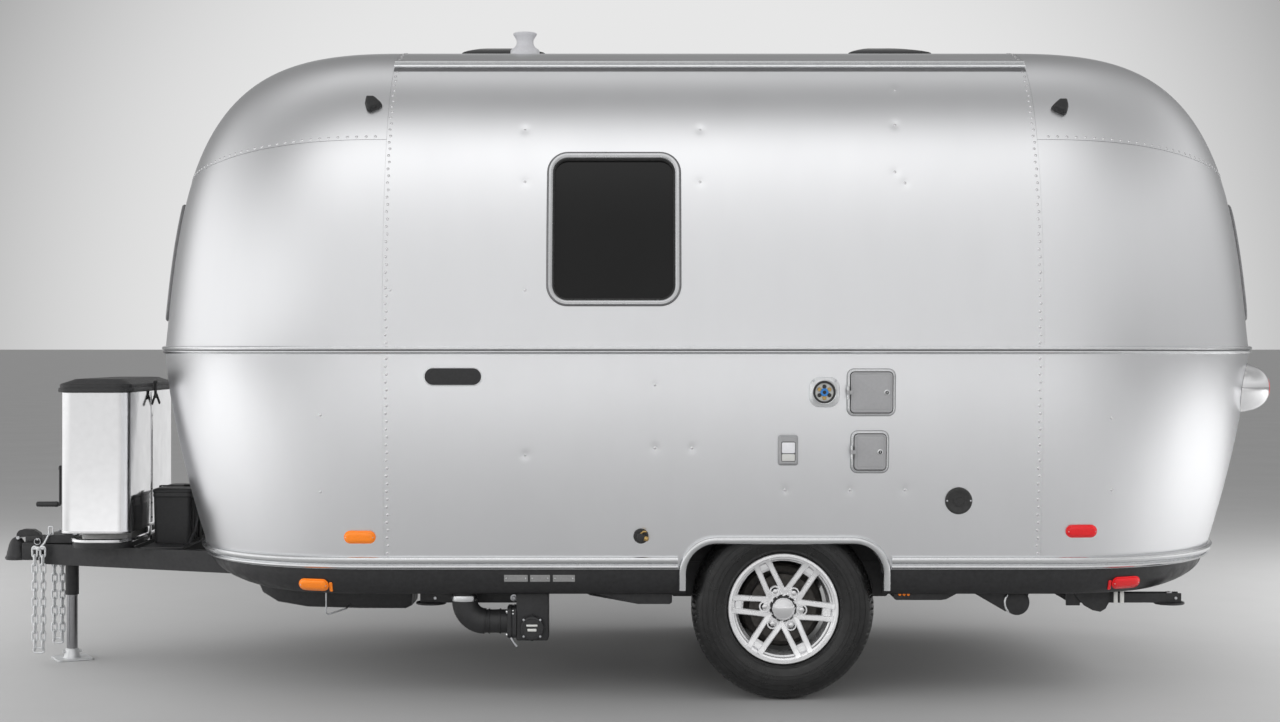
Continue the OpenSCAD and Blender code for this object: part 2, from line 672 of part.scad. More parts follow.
// Blank badge, number plate and rating plates
BADGE = [seam_front + 261, 1217];
PLATE_Z = 800;
NUMBER_PLATE = [340, 160];
// Rating plates: [x, length]
RATING = [[seam_front + 444, 88], [seam_front + 541, 74], [seam_front + 626, 82]];
rating_z = wall_z - 48;
rating_t = 3;
rating_h = 26;
module blank_plates() color(BLACK) {
    on_left() patch(BADGE[0], BADGE[1], 214, 66, fit, 5) polygon(round_rect(214, 66, 32.9));
    rear_end() intersection() {
        end_skin(u_at(PLATE_Z - NUMBER_PLATE[1]), u_at(PLATE_Z + NUMBER_PLATE[1]), fit, 8, 4);
        through_end() translate([0, PLATE_Z]) polygon(round_rect(NUMBER_PLATE[0], NUMBER_PLATE[1], 12));
    }
    on_left() for (r = RATING) translate([r[0], prof_w(-1) - skirt_inset - 1 + fit, rating_z])
        cube([r[1], rating_t, rating_h]);
}

// Lamps: a patch on the shoulder of an end, drawn as [x outwards from the ring seam, z]
module end_patch(x, z, h, low, high) intersection() {
    end_skin(u_at(z - h), u_at(z + h), low, high, 4, 16, 0, 40);
    through_side() translate([x, z]) children();
}
lamp_l = 118;
lamp_h = 48;
lamp_high = 17;
MARKER_FRONT = [90, 621];
MARKER_REAR = [150, 643];
SKIRT_FRONT = [273, 436];
SKIRT_REAR = [338, 442];
module lamp_outline() polygon(round_rect(lamp_l, lamp_h, lamp_h / 2 - 0.1));
module wall_lamp(at) end_patch(at[0], at[1], lamp_h, fit, lamp_high) lamp_outline();
module skirt_lamp(at) intersection() {
    skirt_end(fit, lamp_high, 60);
    through_side() translate([at[0], at[1]]) lamp_outline();
}
module lamps_amber() color(AMBER) both_sides() front_end() {
    wall_lamp(MARKER_FRONT);
    skirt_lamp(SKIRT_FRONT);
}
module lamps_red() color(RED) {
    both_sides() rear_end() {
        wall_lamp(MARKER_REAR);
        skirt_lamp(SKIRT_REAR);
    }
    both_sides() tail_lens();
}
CLEARANCE_FRONT = [60, rise_z(0.7692)];
CLEARANCE_REAR = [100, rise_z(0.76)];
clearance_high = 30;
module clearance_lamp(at) end_patch(at[0], at[1], 60, 2 * fit, clearance_high)
    polygon([[30, -16], [34, 18], [10, 27], [-34, 0], [-8, -27]]);
module clearance_lamps() color(BLACK) both_sides() {
    front_end() clearance_lamp(CLEARANCE_FRONT);
    rear_end() clearance_lamp(CLEARANCE_REAR);
}

// Tail lamp pods on the rear wall: a domed housing with a round lens in its tip
pod_y = 550;
pod_z = 1167;
pod_r = 98;
pod_tip = seam_rear + end_len + 4;
lens_r = 52;
pod_l = 150;
function pod_x(r) = pod_tip - pod_l + pod_l * pow(1 - pow(r / pod_r, 2.6), 1 / 2.6);
module pod_turn() translate([0, pod_y, pod_z]) rotate([0, 90, 0]) rotate_extrude() children();
module tail_pods() color(TRIM) both_sides() difference() {
    pod_turn() polygon(concat([[0, pod_tip - 2 * pod_l], [pod_r, pod_tip - 2 * pod_l]],
        [for (i = [0:10]) let (r = pod_r - (pod_r - lens_r) * i / 10) [r, pod_x(r)]],
        [[lens_r, lens_seat], [0, lens_seat]]));
    rear_end() end_skin(-1, 0, -2 * pod_l, fit, low_rows);
}
lens_seat = pod_x(lens_r) - 4;
module tail_lens() pod_turn() polygon(concat([[0, lens_seat + fit], [lens_r - fit, lens_seat + fit]],
    [for (i = [0:5]) let (r = (lens_r - fit) * (1 - i / 5)) [r, pod_x(r)]]));

// Roof vents and vent pipe
vent_lid_h = 46;
vent_lid_w = 350;
vent_axis = 192;      // distance of a lid's hinge axis from the vent's middle
vent_knuckle_r = 8;
vent_pin_r = 4;
vent_knuckle = 60;
vent_seat = roof_z + fit + vent_base_h;
PIPE = [VENTS[0] + 99, -300];
module vent_hinge_at(x) translate([x - vent_axis, 0, vent_seat]) rotate([90, 0, 0]) children();
module roof_fittings() color(BLACK) {
    for (x = VENTS) {
        translate([x, 0, roof_z + fit]) difference() {
            linear_extrude(vent_base_h) polygon(round_rect(vent_base, vent_base, 30));
            cube([vent_hole, vent_hole, 3 * vent_base_h], center = true);
        }
        vent_hinge_at(x) knuckle_pin(vent_knuckle_r, vent_pin_r, vent_knuckle);
        for (s = SIDES)
            translate([x - vent_axis - vent_knuckle_r, (s - 0.5) * vent_knuckle + 1, roof_z + fit])
                cube([2 * vent_knuckle_r + 10, vent_knuckle - 2, vent_base_h]);
    }
    translate([PIPE[0], PIPE[1], roof_z - 1.8]) rotate_extrude() polygon([
        [0, 0], [60, 0], [60, 8], [40, 22], [32, 40], [32, 62], [48, 88], [50, 96], [46, 100], [0, 100]]);
}
module vent_lid(x) {
    translate([x, 0, vent_seat + fit]) difference() {
        union() {
            linear_extrude(14) polygon(round_rect(vent_lid_w, vent_lid_w, 34));
            translate([0, 0, 14]) linear_extrude(vent_lid_h - 14, scale = 0.72)
                polygon(round_rect(vent_lid_w, vent_lid_w, 34));
        }
        translate([0, 0, -1]) linear_extrude(vent_lid_h - 6, scale = 0.80)
            polygon(round_rect(vent_lid_w - 24, vent_lid_w - 24, 24));
    }
    vent_hinge_at(x) knuckle_eye(vent_knuckle_r, vent_pin_r, vent_knuckle);
    translate([x - vent_axis + vent_pin_r + 1, -vent_knuckle / 2 + 1, vent_seat + fit])
        cube([vent_axis - vent_lid_w / 2 + 6, vent_knuckle - 2, vent_knuckle_r - fit]);
}
module vent_lid_front() color(GLASS) vent_lid(VENTS[0]);
module vent_lid_rear() color(GLASS) vent_lid(VENTS[1]);

// Chassis
rail_z = wall_z - rail_h;
rail_x0 = seam_front - 103;
rail_x1 = seam_rear + 547;
flange_t = 7;
module chassis_rails() color(BLACK) for (s = SIDES) translate([rail_x0, s * rail_y, rail_z])
    rotate([90, 0, 90]) linear_extrude(rail_x1 - rail_x0) mirror([s > 0 ? 0 : 1, 0]) difference() {
        translate([-rail_w / 2, 0]) square([rail_w, rail_h]);
        translate([-rail_w / 2 - 1, flange_t]) square([rail_w - flange_t + 1, rail_h - 2 * flange_t]);
    }
cross_in = 30;        // middle of an end crossmember from the rail's end
CROSS_OFF = [-782, -372, 428]; // places of the middle crossmembers from the wheels' axis
CROSS_X = concat([rail_x0 + cross_in], [for (d = CROSS_OFF) wheel_x + d],
    [seam_rear + 57, rail_x1 - cross_in]);
cross_w = 50;
cross_h = 70;
module crossmembers() color(BLACK) for (x = CROSS_X) {
    span = rail_y - rail_w / 2 - fit;
    translate([x - cross_w / 2, -span, wall_z - cross_h]) cube([cross_w, 2 * span, cross_h]);
}

// Drawbar
beam_w = 50;
beam_over = 4 * beam_w; // how far a beam's blank runs past its cut ends
beam_front = [nose_x + 190, 78];
beam_rear = [rail_x0, rail_y - 30];
beam_l = norm(beam_rear - beam_front) + 2 * beam_over;
module tongue_blocks(grow, drop) both_sides() intersection() {
    translate([beam_front[0], beam_front[1], rail_z - grow - drop])
        rotate([0, 0, atan2(beam_rear[1] - beam_front[1], beam_rear[0] - beam_front[0])])
        translate([-beam_over, -beam_w / 2 - grow, 0])
        cube([beam_l, beam_w + 2 * grow, rail_h + 2 * grow + drop]);
    translate([beam_front[0], 0, rail_z - grow - drop])
        cube([beam_rear[0] - fit - beam_front[0], body_w / 2, rail_h + 2 * grow + drop]);
}
module tongue_beams() color(BLACK) tongue_blocks(0, 0);

socket_z0 = 424;
socket_deep = 48;
nose_r = 50;
ball_x = nose_x + nose_r;
head_t = 12;
head_w = 224;
module coupler() color(BLACK) {
    difference() {
        union() {
            translate([ball_x, 0, socket_z0]) cylinder(r = nose_r, h = 14);
            translate([ball_x, 0, socket_z0]) cylinder(r = 42, h = 72);
            translate([ball_x, 0, socket_z0 + 72]) sphere(r = 30);
            translate([ball_x, -42, socket_z0]) cube([beam_front[0] - fit - ball_x, 84, 76]);
            translate([ball_x + 40, -22, socket_z0 + 70]) cube([95, 44, 34]);
            translate([ball_x + 60, 0, socket_z0 + 104]) rotate([90, 0, 0])
                cylinder(r = 30, h = 24, center = true);
        }
        translate([ball_x, 0, socket_z0 - 1]) cylinder(r = ball_socket_r, h = socket_deep + 1);
        translate([ball_x + 46, -34, socket_z0 - 1]) cube([beam_front[0] - head_t - ball_x - 46, 68, 60]);
    }
    translate([beam_front[0] - fit - head_t, -head_w / 2, rail_z]) cube([head_t, head_w, rail_h]);
}

// Jack: fixed tube with its gear head and crank, and a sliding leg with a foot plate
jack_z0 = 275;
jack_z1 = 800;
leg_r = 23;
jack_bore = leg_r + pin_fit;
jack_head = 64;
JACK_BRACKET = [150, 220, 36];
bracket_rear = 55;    // how far the bracket runs behind the jack's axis
crank_out = 20;       // clear length of the crank's shaft
crank_z = jack_z1 + 12;
crank_drop = 155;
crank_reach = 100;
module jack_tube() color(BLACK) {
    difference() {
        union() {
            translate([jack_x, 0, jack_z0]) cylinder(r = jack_r, h = jack_z1 - jack_z0);
            translate([jack_x + bracket_rear - JACK_BRACKET[0], -JACK_BRACKET[1] / 2, wall_z + fit])
                cube(JACK_BRACKET);
            translate([jack_x - jack_r, -jack_r, jack_z1 - 20]) cube([2 * jack_r, 2 * jack_r, jack_head]);
        }
        translate([jack_x, 0, jack_z0 - 1]) cylinder(r = jack_bore, h = jack_z1 - jack_z0 - 9);
    }
    translate([jack_x - jack_r - crank_out, 0, crank_z]) {
        rotate([0, 90, 0]) cylinder(r = 8, h = crank_out + 2);
        translate([-6, -11, -crank_drop]) cube([8, 22, crank_drop + 10]);
        translate([-4 - crank_reach, 0, 2 - crank_drop]) rotate([0, 90, 0])
            cylinder(r = 12, h = crank_reach + 2);
    }
}
foot_t = 8;
foot_turn = 28;
leg_top = 520;
module jack_leg() color(ZINC) translate([jack_x, 0, 0]) {
    rotate([0, 0, foot_turn]) translate([-foot_side / 2, -foot_side / 2, 0])
        cube([foot_side, foot_side, foot_t]);
    translate([0, 0, foot_t - 1]) cylinder(r1 = 36, r2 = 27, h = 40);
    translate([0, 0, foot_t - 1]) cylinder(r = leg_r, h = leg_top - foot_t);
}

// Gas locker: cover, lid with rubber latches, bottles on a tray
locker_r = 55;
locker_mid = locker_x + locker_d / 2;
lid_lap = 7;          // how far the lid's lip stands outside the cover
lid_lip = 16;         // height of that lip below the cover's rim
lid_band = 16;
lid_rise = 22;
module locker_outline(grow) polygon(round_rect(locker_d + 2 * grow, locker_w + 2 * grow, locker_r + grow));
module gas_cover() color(SKIN) translate([locker_mid, 0, locker_z0]) {
    linear_extrude(locker_z1 - locker_z0) difference() {
        locker_outline(0);
        locker_outline(-locker_t);
    }
    // Two feet that stand on the tray between the bottles
    foot_z = bottle_z0 + fit - locker_z0;
    for (s = SIDES) translate([s * (locker_d / 2 - locker_t - 9) - 10, -20, foot_z])
        cube([20, 40, 40 - foot_z]);
}
module gas_lid() color(BLACK) {
    translate([locker_mid, 0, locker_z1 + fit]) difference() {
        union() {
            translate([0, 0, -lid_lip]) linear_extrude(lid_lip + lid_band) locker_outline(lid_lap);
            translate([0, 0, lid_band]) linear_extrude(lid_rise, scale = [0.68, 0.86], slices = 1)
                locker_outline(lid_lap - 3);
        }
        translate([0, 0, -lid_lip - 1]) linear_extrude(lid_lip + 1) locker_outline(1);
        translate([0, 0, -1]) linear_extrude(lid_band - 2) locker_outline(-8);
    }
    for (s = SIDES) translate([locker_mid + s * (locker_d / 2 + lid_lap), 0, locker_z1]) {
        translate([s > 0 ? -2 : -8, -11, -52]) cube([10, 22, 70]);
        translate([s > 0 ? -4 : -10, -16, 12]) cube([14, 32, 14]);
        for (k = SIDES) translate([s > 0 ? 0 : -8, 14 * k - 8, -66]) cube([8, 16, 24]);
    }
}
tray_t = 8;
TRAY = [250, 660];    // the bottle tray along X and across
bottle_y = 185;
bottle_z0 = wall_z + fit + tray_t;
bottle_h = 470;
BOTTLE_FOOT = [100, 40]; // radius and height of the foot ring
module gas_bottles() color(ZINC) {
    translate([locker_mid - TRAY[0] / 2, -TRAY[1] / 2, wall_z + fit])
        cube([TRAY[0], TRAY[1], tray_t]);
    for (s = SIDES) translate([locker_mid, s * bottle_y, bottle_z0 - 1]) rotate_extrude() polygon(concat(
        [[0, 0], [BOTTLE_FOOT[0], 0], [BOTTLE_FOOT[0], BOTTLE_FOOT[1]]],
        [for (i = [0:5]) [bottle_r - 30 + 30 * sin(18 * i), BOTTLE_FOOT[1] + 36 - 30 * cos(18 * i)]],
        [for (i = [0:6]) [bottle_r * cos(13 * i), bottle_h - 120 + 70 * sin(13 * i)]],
        [[26, bottle_h - 40], [26, bottle_h], [0, bottle_h]]));
}
battery_d = 150;
battery_w = 300;
battery_h = 212;
battery_gap = 46;     // between the gas bottle cover and the battery box
battery_x = locker_x + locker_d + battery_d / 2 + battery_gap;
module battery_box() color(BLACK) translate([battery_x, 0, wall_z + fit]) {
    translate([-battery_d / 2 - 12, -battery_w - 30, 0]) cube([battery_d + 26, 2 * battery_w + 60, tray_t]);
    translate([0, 0, tray_t - 1]) linear_extrude(battery_h, scale = 1.06)
        polygon(round_rect(battery_d, battery_w, 18));
    translate([0, 0, tray_t - 1 + battery_h]) linear_extrude(20)
        polygon(round_rect(battery_d + 16, battery_w + 24, 22));
}

// Safety chains: flat links that alternate by a quarter turn, hung in a loop from the drawbar's head
link_in = 36;         // clear length inside a link
link_w = 26;
link_t = 7;
chain_x = beam_front[0] - fit - head_t / 2;
chain_y = 140;
chain_top = 470;
strand_gap = 17;      // half the spacing of a loop's two strands
link_pitch = link_in - 0.6;
link_count = 12;
module link() rotate([90, 0, 0]) linear_extrude(link_t, center = true) difference() {
    union() {
        square([link_w, link_in - link_w + 2 * link_t], center = true);
        for (s = SIDES) translate([0, s * (link_in / 2 + link_t - link_w / 2)]) circle(d = link_w, $fn = 8);
    }
    square([link_w - 2 * link_t, link_in - link_w + 2 * link_t], center = true);
    for (s = SIDES) translate([0, s * (link_in / 2 + link_t - link_w / 2)])
        circle(d = link_w - 2 * link_t, $fn = 8);
}
module chain() translate([chain_x, chain_y, chain_top]) {
    for (s = SIDES, i = [0:link_count - 1]) translate([s * strand_gap, 0, -i * link_pitch])
        rotate([0, 0, i % 2 == 0 ? 0 : 90]) link();
    translate([0, 0, -link_count * link_pitch + 12]) rotate([0, 90, 0]) link();
    translate([0, head_w / 2 + fit - chain_y, 14]) rotate([-90, 0, 0])
        cylinder(r = 5, h = chain_y - head_w / 2 + 14);
    translate([-strand_gap - 6, 0, 14]) rotate([0, 90, 0]) cylinder(r = 6, h = 2 * strand_gap + 12);
}
module safety_chains() color(ZINC) both_sides() chain();

// Axle: square tube under the rails, trailing arms, stub axles and brake plates
axle_x = wheel_x - 150;
axle_z = 352;
tube_side = 76;
spindle_r = 22;
arm_y = rail_y + 45;
arm_w = 45;
plate_y = 34;         // brake plate's place inboard of the tyre's middle plane
module axle() color(BLACK) {
    translate([axle_x - tube_side / 2, -arm_y, axle_z - tube_side / 2])
        cube([tube_side, 2 * arm_y, tube_side]);
    for (s = SIDES) translate([axle_x - 60, s * rail_y - rail_w / 2, axle_z + tube_side / 2 - 1])
        cube([120, rail_w, rail_z - axle_z - tube_side / 2 + 1 - fit]);
    both_sides() {
        hull() {
            translate([axle_x, arm_y - 1, axle_z]) rotate([-90, 0, 0])
                cylinder(r = 42, h = arm_w, $fn = 32);
            translate([wheel_x, arm_y - 1, tyre_d / 2]) rotate([-90, 0, 0])
                cylinder(r = 34, h = arm_w, $fn = 32);
        }
        translate([wheel_x, arm_y, tyre_d / 2]) rotate([-90, 0, 0]) {
            cylinder(r = 30, h = half_track - plate_y - arm_y);
            cylinder(r = spindle_r, h = half_track + drum_face - 2 - arm_y);
        }
        translate([wheel_x, half_track - plate_y - 3, tyre_d / 2]) rotate([-90, 0, 0])
            cylinder(r = 128, h = 6, center = true);
    }
}

// Wheels, drawn with the axis along Z and the outer face to +Z, then turned to the side
drum_face = 41.7;
drum_back = 24;
drum_r = 126;
flange_r = rim_d / 2 + 17;
rim_half = 76;        // half the width between the rim flanges
lip_t = 8;
barrel_t = 9;
disc_back = 42;
disc_front = 70;
hub_r = 74;
spoke_w = 20;
spoke_gap = 25;       // distance of a spoke bar from its pair's middle line
wheel_turn = -5;      // how the spokes stand at rest
bead = rim_d / 2 + 0.5;
module at_wheel(s) translate([wheel_x, s * half_track, tyre_d / 2])
    rotate([s < 0 ? 90 : -90, 0, 0]) children();
crown_r = rim_d / 2 + 72;
function tyre_side() = concat(
    [[bead, rim_half - 2], [flange_r + 2, rim_half - 2], [flange_r + 7, rim_half + 10],
     [flange_r + 26, tyre_w / 2 - 5]],
    [for (i = [0:7]) let (a = 90 * i / 7)
        [crown_r + (tyre_d / 2 - crown_r) * pow(sin(a), 2 / 2.4), tyre_w / 2 * pow(cos(a), 2 / 3.4)]]);
module tyre(s) color(BLACK) at_wheel(s) rotate_extrude() {
    half = tyre_side();
    polygon(concat(half, [for (i = [len(half) - 2:-1:0]) [half[i][0], -half[i][1]]]));
}
module alloy_wheel(s) color(ZINC) at_wheel(s) {
    rotate_extrude() polygon([
        [rim_d / 2 - barrel_t, -rim_half - lip_t], [flange_r, -rim_half - lip_t], [flange_r, -rim_half],
        [rim_d / 2, -rim_half + 1], [rim_d / 2, rim_half - 1], [flange_r, rim_half],
        [flange_r, rim_half + lip_t], [rim_d / 2 - barrel_t, rim_half + lip_t]]);
    translate([0, 0, disc_back]) cylinder(r = hub_r, h = disc_front - disc_back - 6);
    for (k = [0:stud_count - 1]) rotate([0, 0, wheel_turn + 360 * k / stud_count]) {
        for (e = SIDES) translate([hub_r / 2, e * spoke_gap - spoke_w / 2, disc_back])
            cube([rim_d / 2 - barrel_t + 4 - hub_r / 2, spoke_w, disc_front - disc_back]);
        translate([stud_pcd / 2, 0, disc_back]) cylinder(r = 21, h = disc_front - disc_back - 12);
        translate([stud_pcd / 2, 0, disc_front - 14]) cylinder(r = 11.5, h = 22, $fn = 6);
    }
    translate([0, 0, disc_front - 8]) rotate_extrude()
        polygon([[0, 0], [41, 0], [41, 18], [36, 27], [0, 30]]);
}
module drum(s) color(BLACK) at_wheel(s) translate([0, 0, -drum_back]) difference() {
    cylinder(r = drum_r, h = drum_face + drum_back);
    translate([0, 0, -1]) cylinder(r = spindle_r + pin_fit, h = drum_face + drum_back + 2);
}
module tyre_left() tyre(-1);
module tyre_right() tyre(1);
module wheel_left() alloy_wheel(-1);
module wheel_right() alloy_wheel(1);
module drum_left() drum(-1);
module drum_right() drum(1);

// Waste pipe under the left side: a bend down from the floor, a run and a capped outlet with its gate
drain_x = seam_front + 287;
drain_y = -rail_y - 245;
drain_r = 44;
drain_bend = 78;
drain_z = 290;
drain_run = 128;
gate_l = 120;
module drain_pipe() color(BLACK) translate([drain_x, drain_y, drain_z]) {
    translate([0, 0, drain_bend - 9]) cylinder(r = drain_r, h = wall_z - fit - drain_z - drain_bend + 9);
    translate([drain_bend, 0, drain_bend]) rotate([90, 0, 0]) rotate([0, 0, 180])
        rotate_extrude(angle = 90) translate([drain_bend, 0]) circle(r = drain_r + 5);
    translate([drain_bend - 9, 0, 0]) rotate([0, 90, 0]) cylinder(r = drain_r, h = drain_run + 9);
    translate([drain_bend + drain_run - 8, -50, -68]) cube([gate_l, 100, wall_z - fit - drain_z + 68 - 4]);
    translate([drain_bend + drain_run + gate_l / 2 - 8, -49, -18]) rotate([90, 0, 0])
        cylinder(r = 50, h = 24);
}

// Stabilizers: a cross tube on pins under the rails, with a leg and a foot pad on each side
// Places: [x of the pivot, which way the legs point when they are stowed]
STAB_FRONT = [seam_front + 527, -1];
STAB_REAR = [seam_rear + 167, 1];
stab_z = 365;
stab_tube_r = 20;
stab_pin_r = 12;
stab_y = rail_y + 120;
stab_half = rail_y + 158; // half length of the cross tube
leg_l = 420;
leg_w = 56;
pad_r = 58;
pad_drop = 26;
hanger_t = 12;
module stabilizer(place) translate([place[0], 0, stab_z]) {
    difference() {
        union() {
            rotate([90, 0, 0]) cylinder(r = stab_tube_r, h = 2 * stab_half, center = true);
            for (s = SIDES) translate([place[1] > 0 ? 0 : -leg_l, s * stab_y - leg_w / 2, -18])
                cube([leg_l, leg_w, 36]);
        }
        rotate([90, 0, 0]) cylinder(r = stab_pin_r + pin_fit, h = 2 * stab_half + 2, center = true);
    }
    for (s = SIDES) translate([place[1] * (leg_l - 40), s * stab_y, -pad_drop]) cylinder(r = pad_r, h = 9);
}
module stabilizer_front() color(BLACK) stabilizer(STAB_FRONT);
module stabilizer_rear() color(BLACK) stabilizer(STAB_REAR);
module stab_hangers() for (place = [STAB_FRONT, STAB_REAR])
    both_sides() translate([place[0], stab_half + fit, stab_z]) {
        translate([-26, 0, -26]) cube([52, hanger_t, wall_z - fit - stab_z + 26]);
        rotate([90, 0, 0]) translate([0, 0, -1]) cylinder(r = stab_pin_r, h = 60);
    }

// Pull-out step under the door
step_x0 = door_x + 276;
step_l = 400;
step_z = 300;
step_t = 30;
step_y0 = rail_y + 50;
step_deep = 250;
guide_t = 10;
module step_guides() color(BLACK) {
    for (x = [step_x0 - guide_t - fit, step_x0 + step_l + fit]) {
        translate([x, step_y0, step_z - 20]) cube([guide_t, step_deep, wall_z - fit - step_z + 20]);
    }
    for (x = [step_x0 - fit - 1, step_x0 + step_l + fit - 23],
         z = [step_z - 12 - fit, step_z + step_t + fit])
        translate([x, step_y0, z]) cube([24, step_deep, 12]);
    stab_hangers();
}
module entry_step() color(BLACK) {
    translate([step_x0, step_y0 + fit, step_z]) cube([step_l, step_deep - 2, step_t]);
}

roof_panel();
side_upper_left();
side_upper_right();
side_lower_left();
side_lower_right();
end_front_lower();
end_front_middle();
end_front_dome();
end_rear_lower();
end_rear_middle();
end_rear_dome();
floor_slab();
wheel_housings();
skirt();
belt_rail();
rub_rail();
wall_trims();
window_frames();
window_glass();
hatch_frames();
side_fittings();
blank_plates();
lamps_amber();
lamps_red();
clearance_lamps();
tail_pods();
roof_fittings();
chassis_rails();
crossmembers();
tongue_beams();
coupler();
jack_tube();
gas_cover();
gas_bottles();
battery_box();
safety_chains();
axle();
drain_pipe();
step_guides();
door_hinges();
tyre_left();
wheel_left();
drum_left();
tyre_right();
wheel_right();
drum_right();
door();
door_glass();
door_hardware();
hatch_upper();
hatch_lower();
gas_lid();
jack_leg();
vent_lid_front();
vent_lid_rear();
stabilizer_front();
stabilizer_rear();
entry_step();
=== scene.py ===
"""Riveted aluminium travel caravan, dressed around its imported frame. Metres, the CAD's own frame."""
import math
from math import pi, sin, cos, radians

import bpy
import bmesh
from mathutils import Vector, Matrix
from mathutils.geometry import delaunay_2d_cdt


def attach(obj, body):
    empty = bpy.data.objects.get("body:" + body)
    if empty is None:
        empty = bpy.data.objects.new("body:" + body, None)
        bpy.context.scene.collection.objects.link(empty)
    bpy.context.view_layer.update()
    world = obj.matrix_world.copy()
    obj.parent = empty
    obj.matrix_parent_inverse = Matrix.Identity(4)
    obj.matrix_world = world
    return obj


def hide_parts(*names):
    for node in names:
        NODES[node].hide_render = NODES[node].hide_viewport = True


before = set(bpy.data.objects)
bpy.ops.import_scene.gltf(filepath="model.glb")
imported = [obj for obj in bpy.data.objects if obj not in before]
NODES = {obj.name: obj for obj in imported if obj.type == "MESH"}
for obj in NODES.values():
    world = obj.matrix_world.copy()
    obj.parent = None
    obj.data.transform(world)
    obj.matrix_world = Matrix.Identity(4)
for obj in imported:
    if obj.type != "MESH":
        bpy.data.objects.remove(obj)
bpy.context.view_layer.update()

ROOT = "caravan"

# Camera, light and stage
EYE = Vector((0.0935, -8.5, 1.32))
LENS, SENSOR_W = 56.1, 36
PHOTO = (1280, 722)
HORIZON_UP = 12          # pixels of the photo from its middle up to the horizon
FOCAL = 1995             # the lens in pixels of the photo
FAR, FLOOR_HALF = 10000, 4000

# Brightness of the studio: in the middle by the angle up from the front, at the sides by height
MIDDLE_LIGHT = ((-30, 0.7), (0, 0.8), (15, 0.77), (24, 0.82), (32, 0.98), (40, 1.18), (50, 1.34), (58, 0.96),
                (67, 0.52), (78, 0.32), (90, 0.42), (108, 0.76), (120, 0.55), (135, 0.32), (180, 0.3))
LEFT_LIGHT = ((0.0, 1.1), (0.2, 1.04), (0.34, 0.86), (0.45, 0.68), (0.6, 0.45), (1.0, 0.4))
RIGHT_LIGHT = ((0.0, 0.54), (0.12, 0.58), (0.28, 0.68), (0.4, 0.72), (0.55, 0.56), (0.68, 0.44), (1.0, 0.4))
BACK_LIGHT, BACK_GLOW = 0.24, 0.8        # beside and in the middle of the backdrop
# From which x or y of a direction to which one the sides, the backdrop and its glow take over
LEFT_EDGE, RIGHT_EDGE, BACK_EDGE, GLOW_EDGE = (-0.25, -0.9), (-0.04, 0.7), (0.45, 0.85), (0.91, 0.985)
# Soft boxes that face straight down: name, place, length and width, watts
SOFT_BOXES = (("front_box", (0.3, -18.5, 3.0), (14.0, 22.0), 2700),
              ("left_box", (-18.0, -1.0, 2.6), (28.0, 10.0), 2700),
              ("right_box", (8.0, 0.2, 2.5), (8.0, 7.0), 720))


def map_range(tree, value, low, high, kind="LINEAR"):
    """A value's place between low and high, from 0 to 1."""
    node = tree.nodes.new("ShaderNodeMapRange")
    node.interpolation_type = kind
    node.inputs["From Min"].default_value = low
    node.inputs["From Max"].default_value = high
    tree.links.new(value, node.inputs["Value"])
    return node.outputs[0]


def grey_ramp(tree, value, low, high, stops):
    """Grey by a value, with stops of (value, brightness) from low to high."""
    node = tree.nodes.new("ShaderNodeValToRGB")
    tree.links.new(map_range(tree, value, low, high), node.inputs[0])
    ramp = node.color_ramp.elements
    for at, v in stops[1:-1]:
        ramp.new((at - low) / (high - low)).color = (v, v, v, 1)
    ramp[0].color = (*[stops[0][1]] * 3, 1)
    ramp[-1].color = (*[stops[-1][1]] * 3, 1)
    return node.outputs[0]


def blend(tree, factor, a, b):
    mix = tree.nodes.new("ShaderNodeMix")
    mix.data_type = "RGBA"
    tree.links.new(factor, mix.inputs["Factor"])
    tree.links.new(a, mix.inputs[6])
    if isinstance(b, float):
        mix.inputs[7].default_value = (b, b, b, 1)
    else:
        tree.links.new(b, mix.inputs[7])
    return mix.outputs[2]


def make_world(scene):
    world = bpy.data.worlds.new("studio")
    world.use_nodes = True
    scene.world = world
    tree = world.node_tree
    coord = tree.nodes.new("ShaderNodeTexCoord")
    split = tree.nodes.new("ShaderNodeSeparateXYZ")
    tree.links.new(coord.outputs["Generated"], split.inputs[0])
    x, y, z = split.outputs
    back = tree.nodes.new("ShaderNodeMath")
    back.operation = "MULTIPLY"
    back.inputs[1].default_value = -1
    tree.links.new(y, back.inputs[0])
    angle = tree.nodes.new("ShaderNodeMath")
    angle.operation = "ARCTAN2"
    tree.links.new(z, angle.inputs[0])
    tree.links.new(back.outputs[0], angle.inputs[1])
    stops = [(radians(a), v) for a, v in MIDDLE_LIGHT]
    middle = grey_ramp(tree, angle.outputs[0], stops[0][0], stops[-1][0], stops)
    left = grey_ramp(tree, z, 0, 1, LEFT_LIGHT)
    right = grey_ramp(tree, z, 0, 1, RIGHT_LIGHT)
    light = blend(tree, map_range(tree, x, *LEFT_EDGE, "SMOOTHSTEP"), middle, left)
    light = blend(tree, map_range(tree, x, *RIGHT_EDGE, "SMOOTHSTEP"), light, right)
    light = blend(tree, map_range(tree, y, *BACK_EDGE, "SMOOTHSTEP"), light, BACK_LIGHT)
    light = blend(tree, map_range(tree, y, *GLOW_EDGE, "SMOOTHSTEP"), light, BACK_GLOW)
    tree.links.new(light, tree.nodes["Background"].inputs[0])
    tree.nodes["Background"].inputs[1].default_value = 1.0


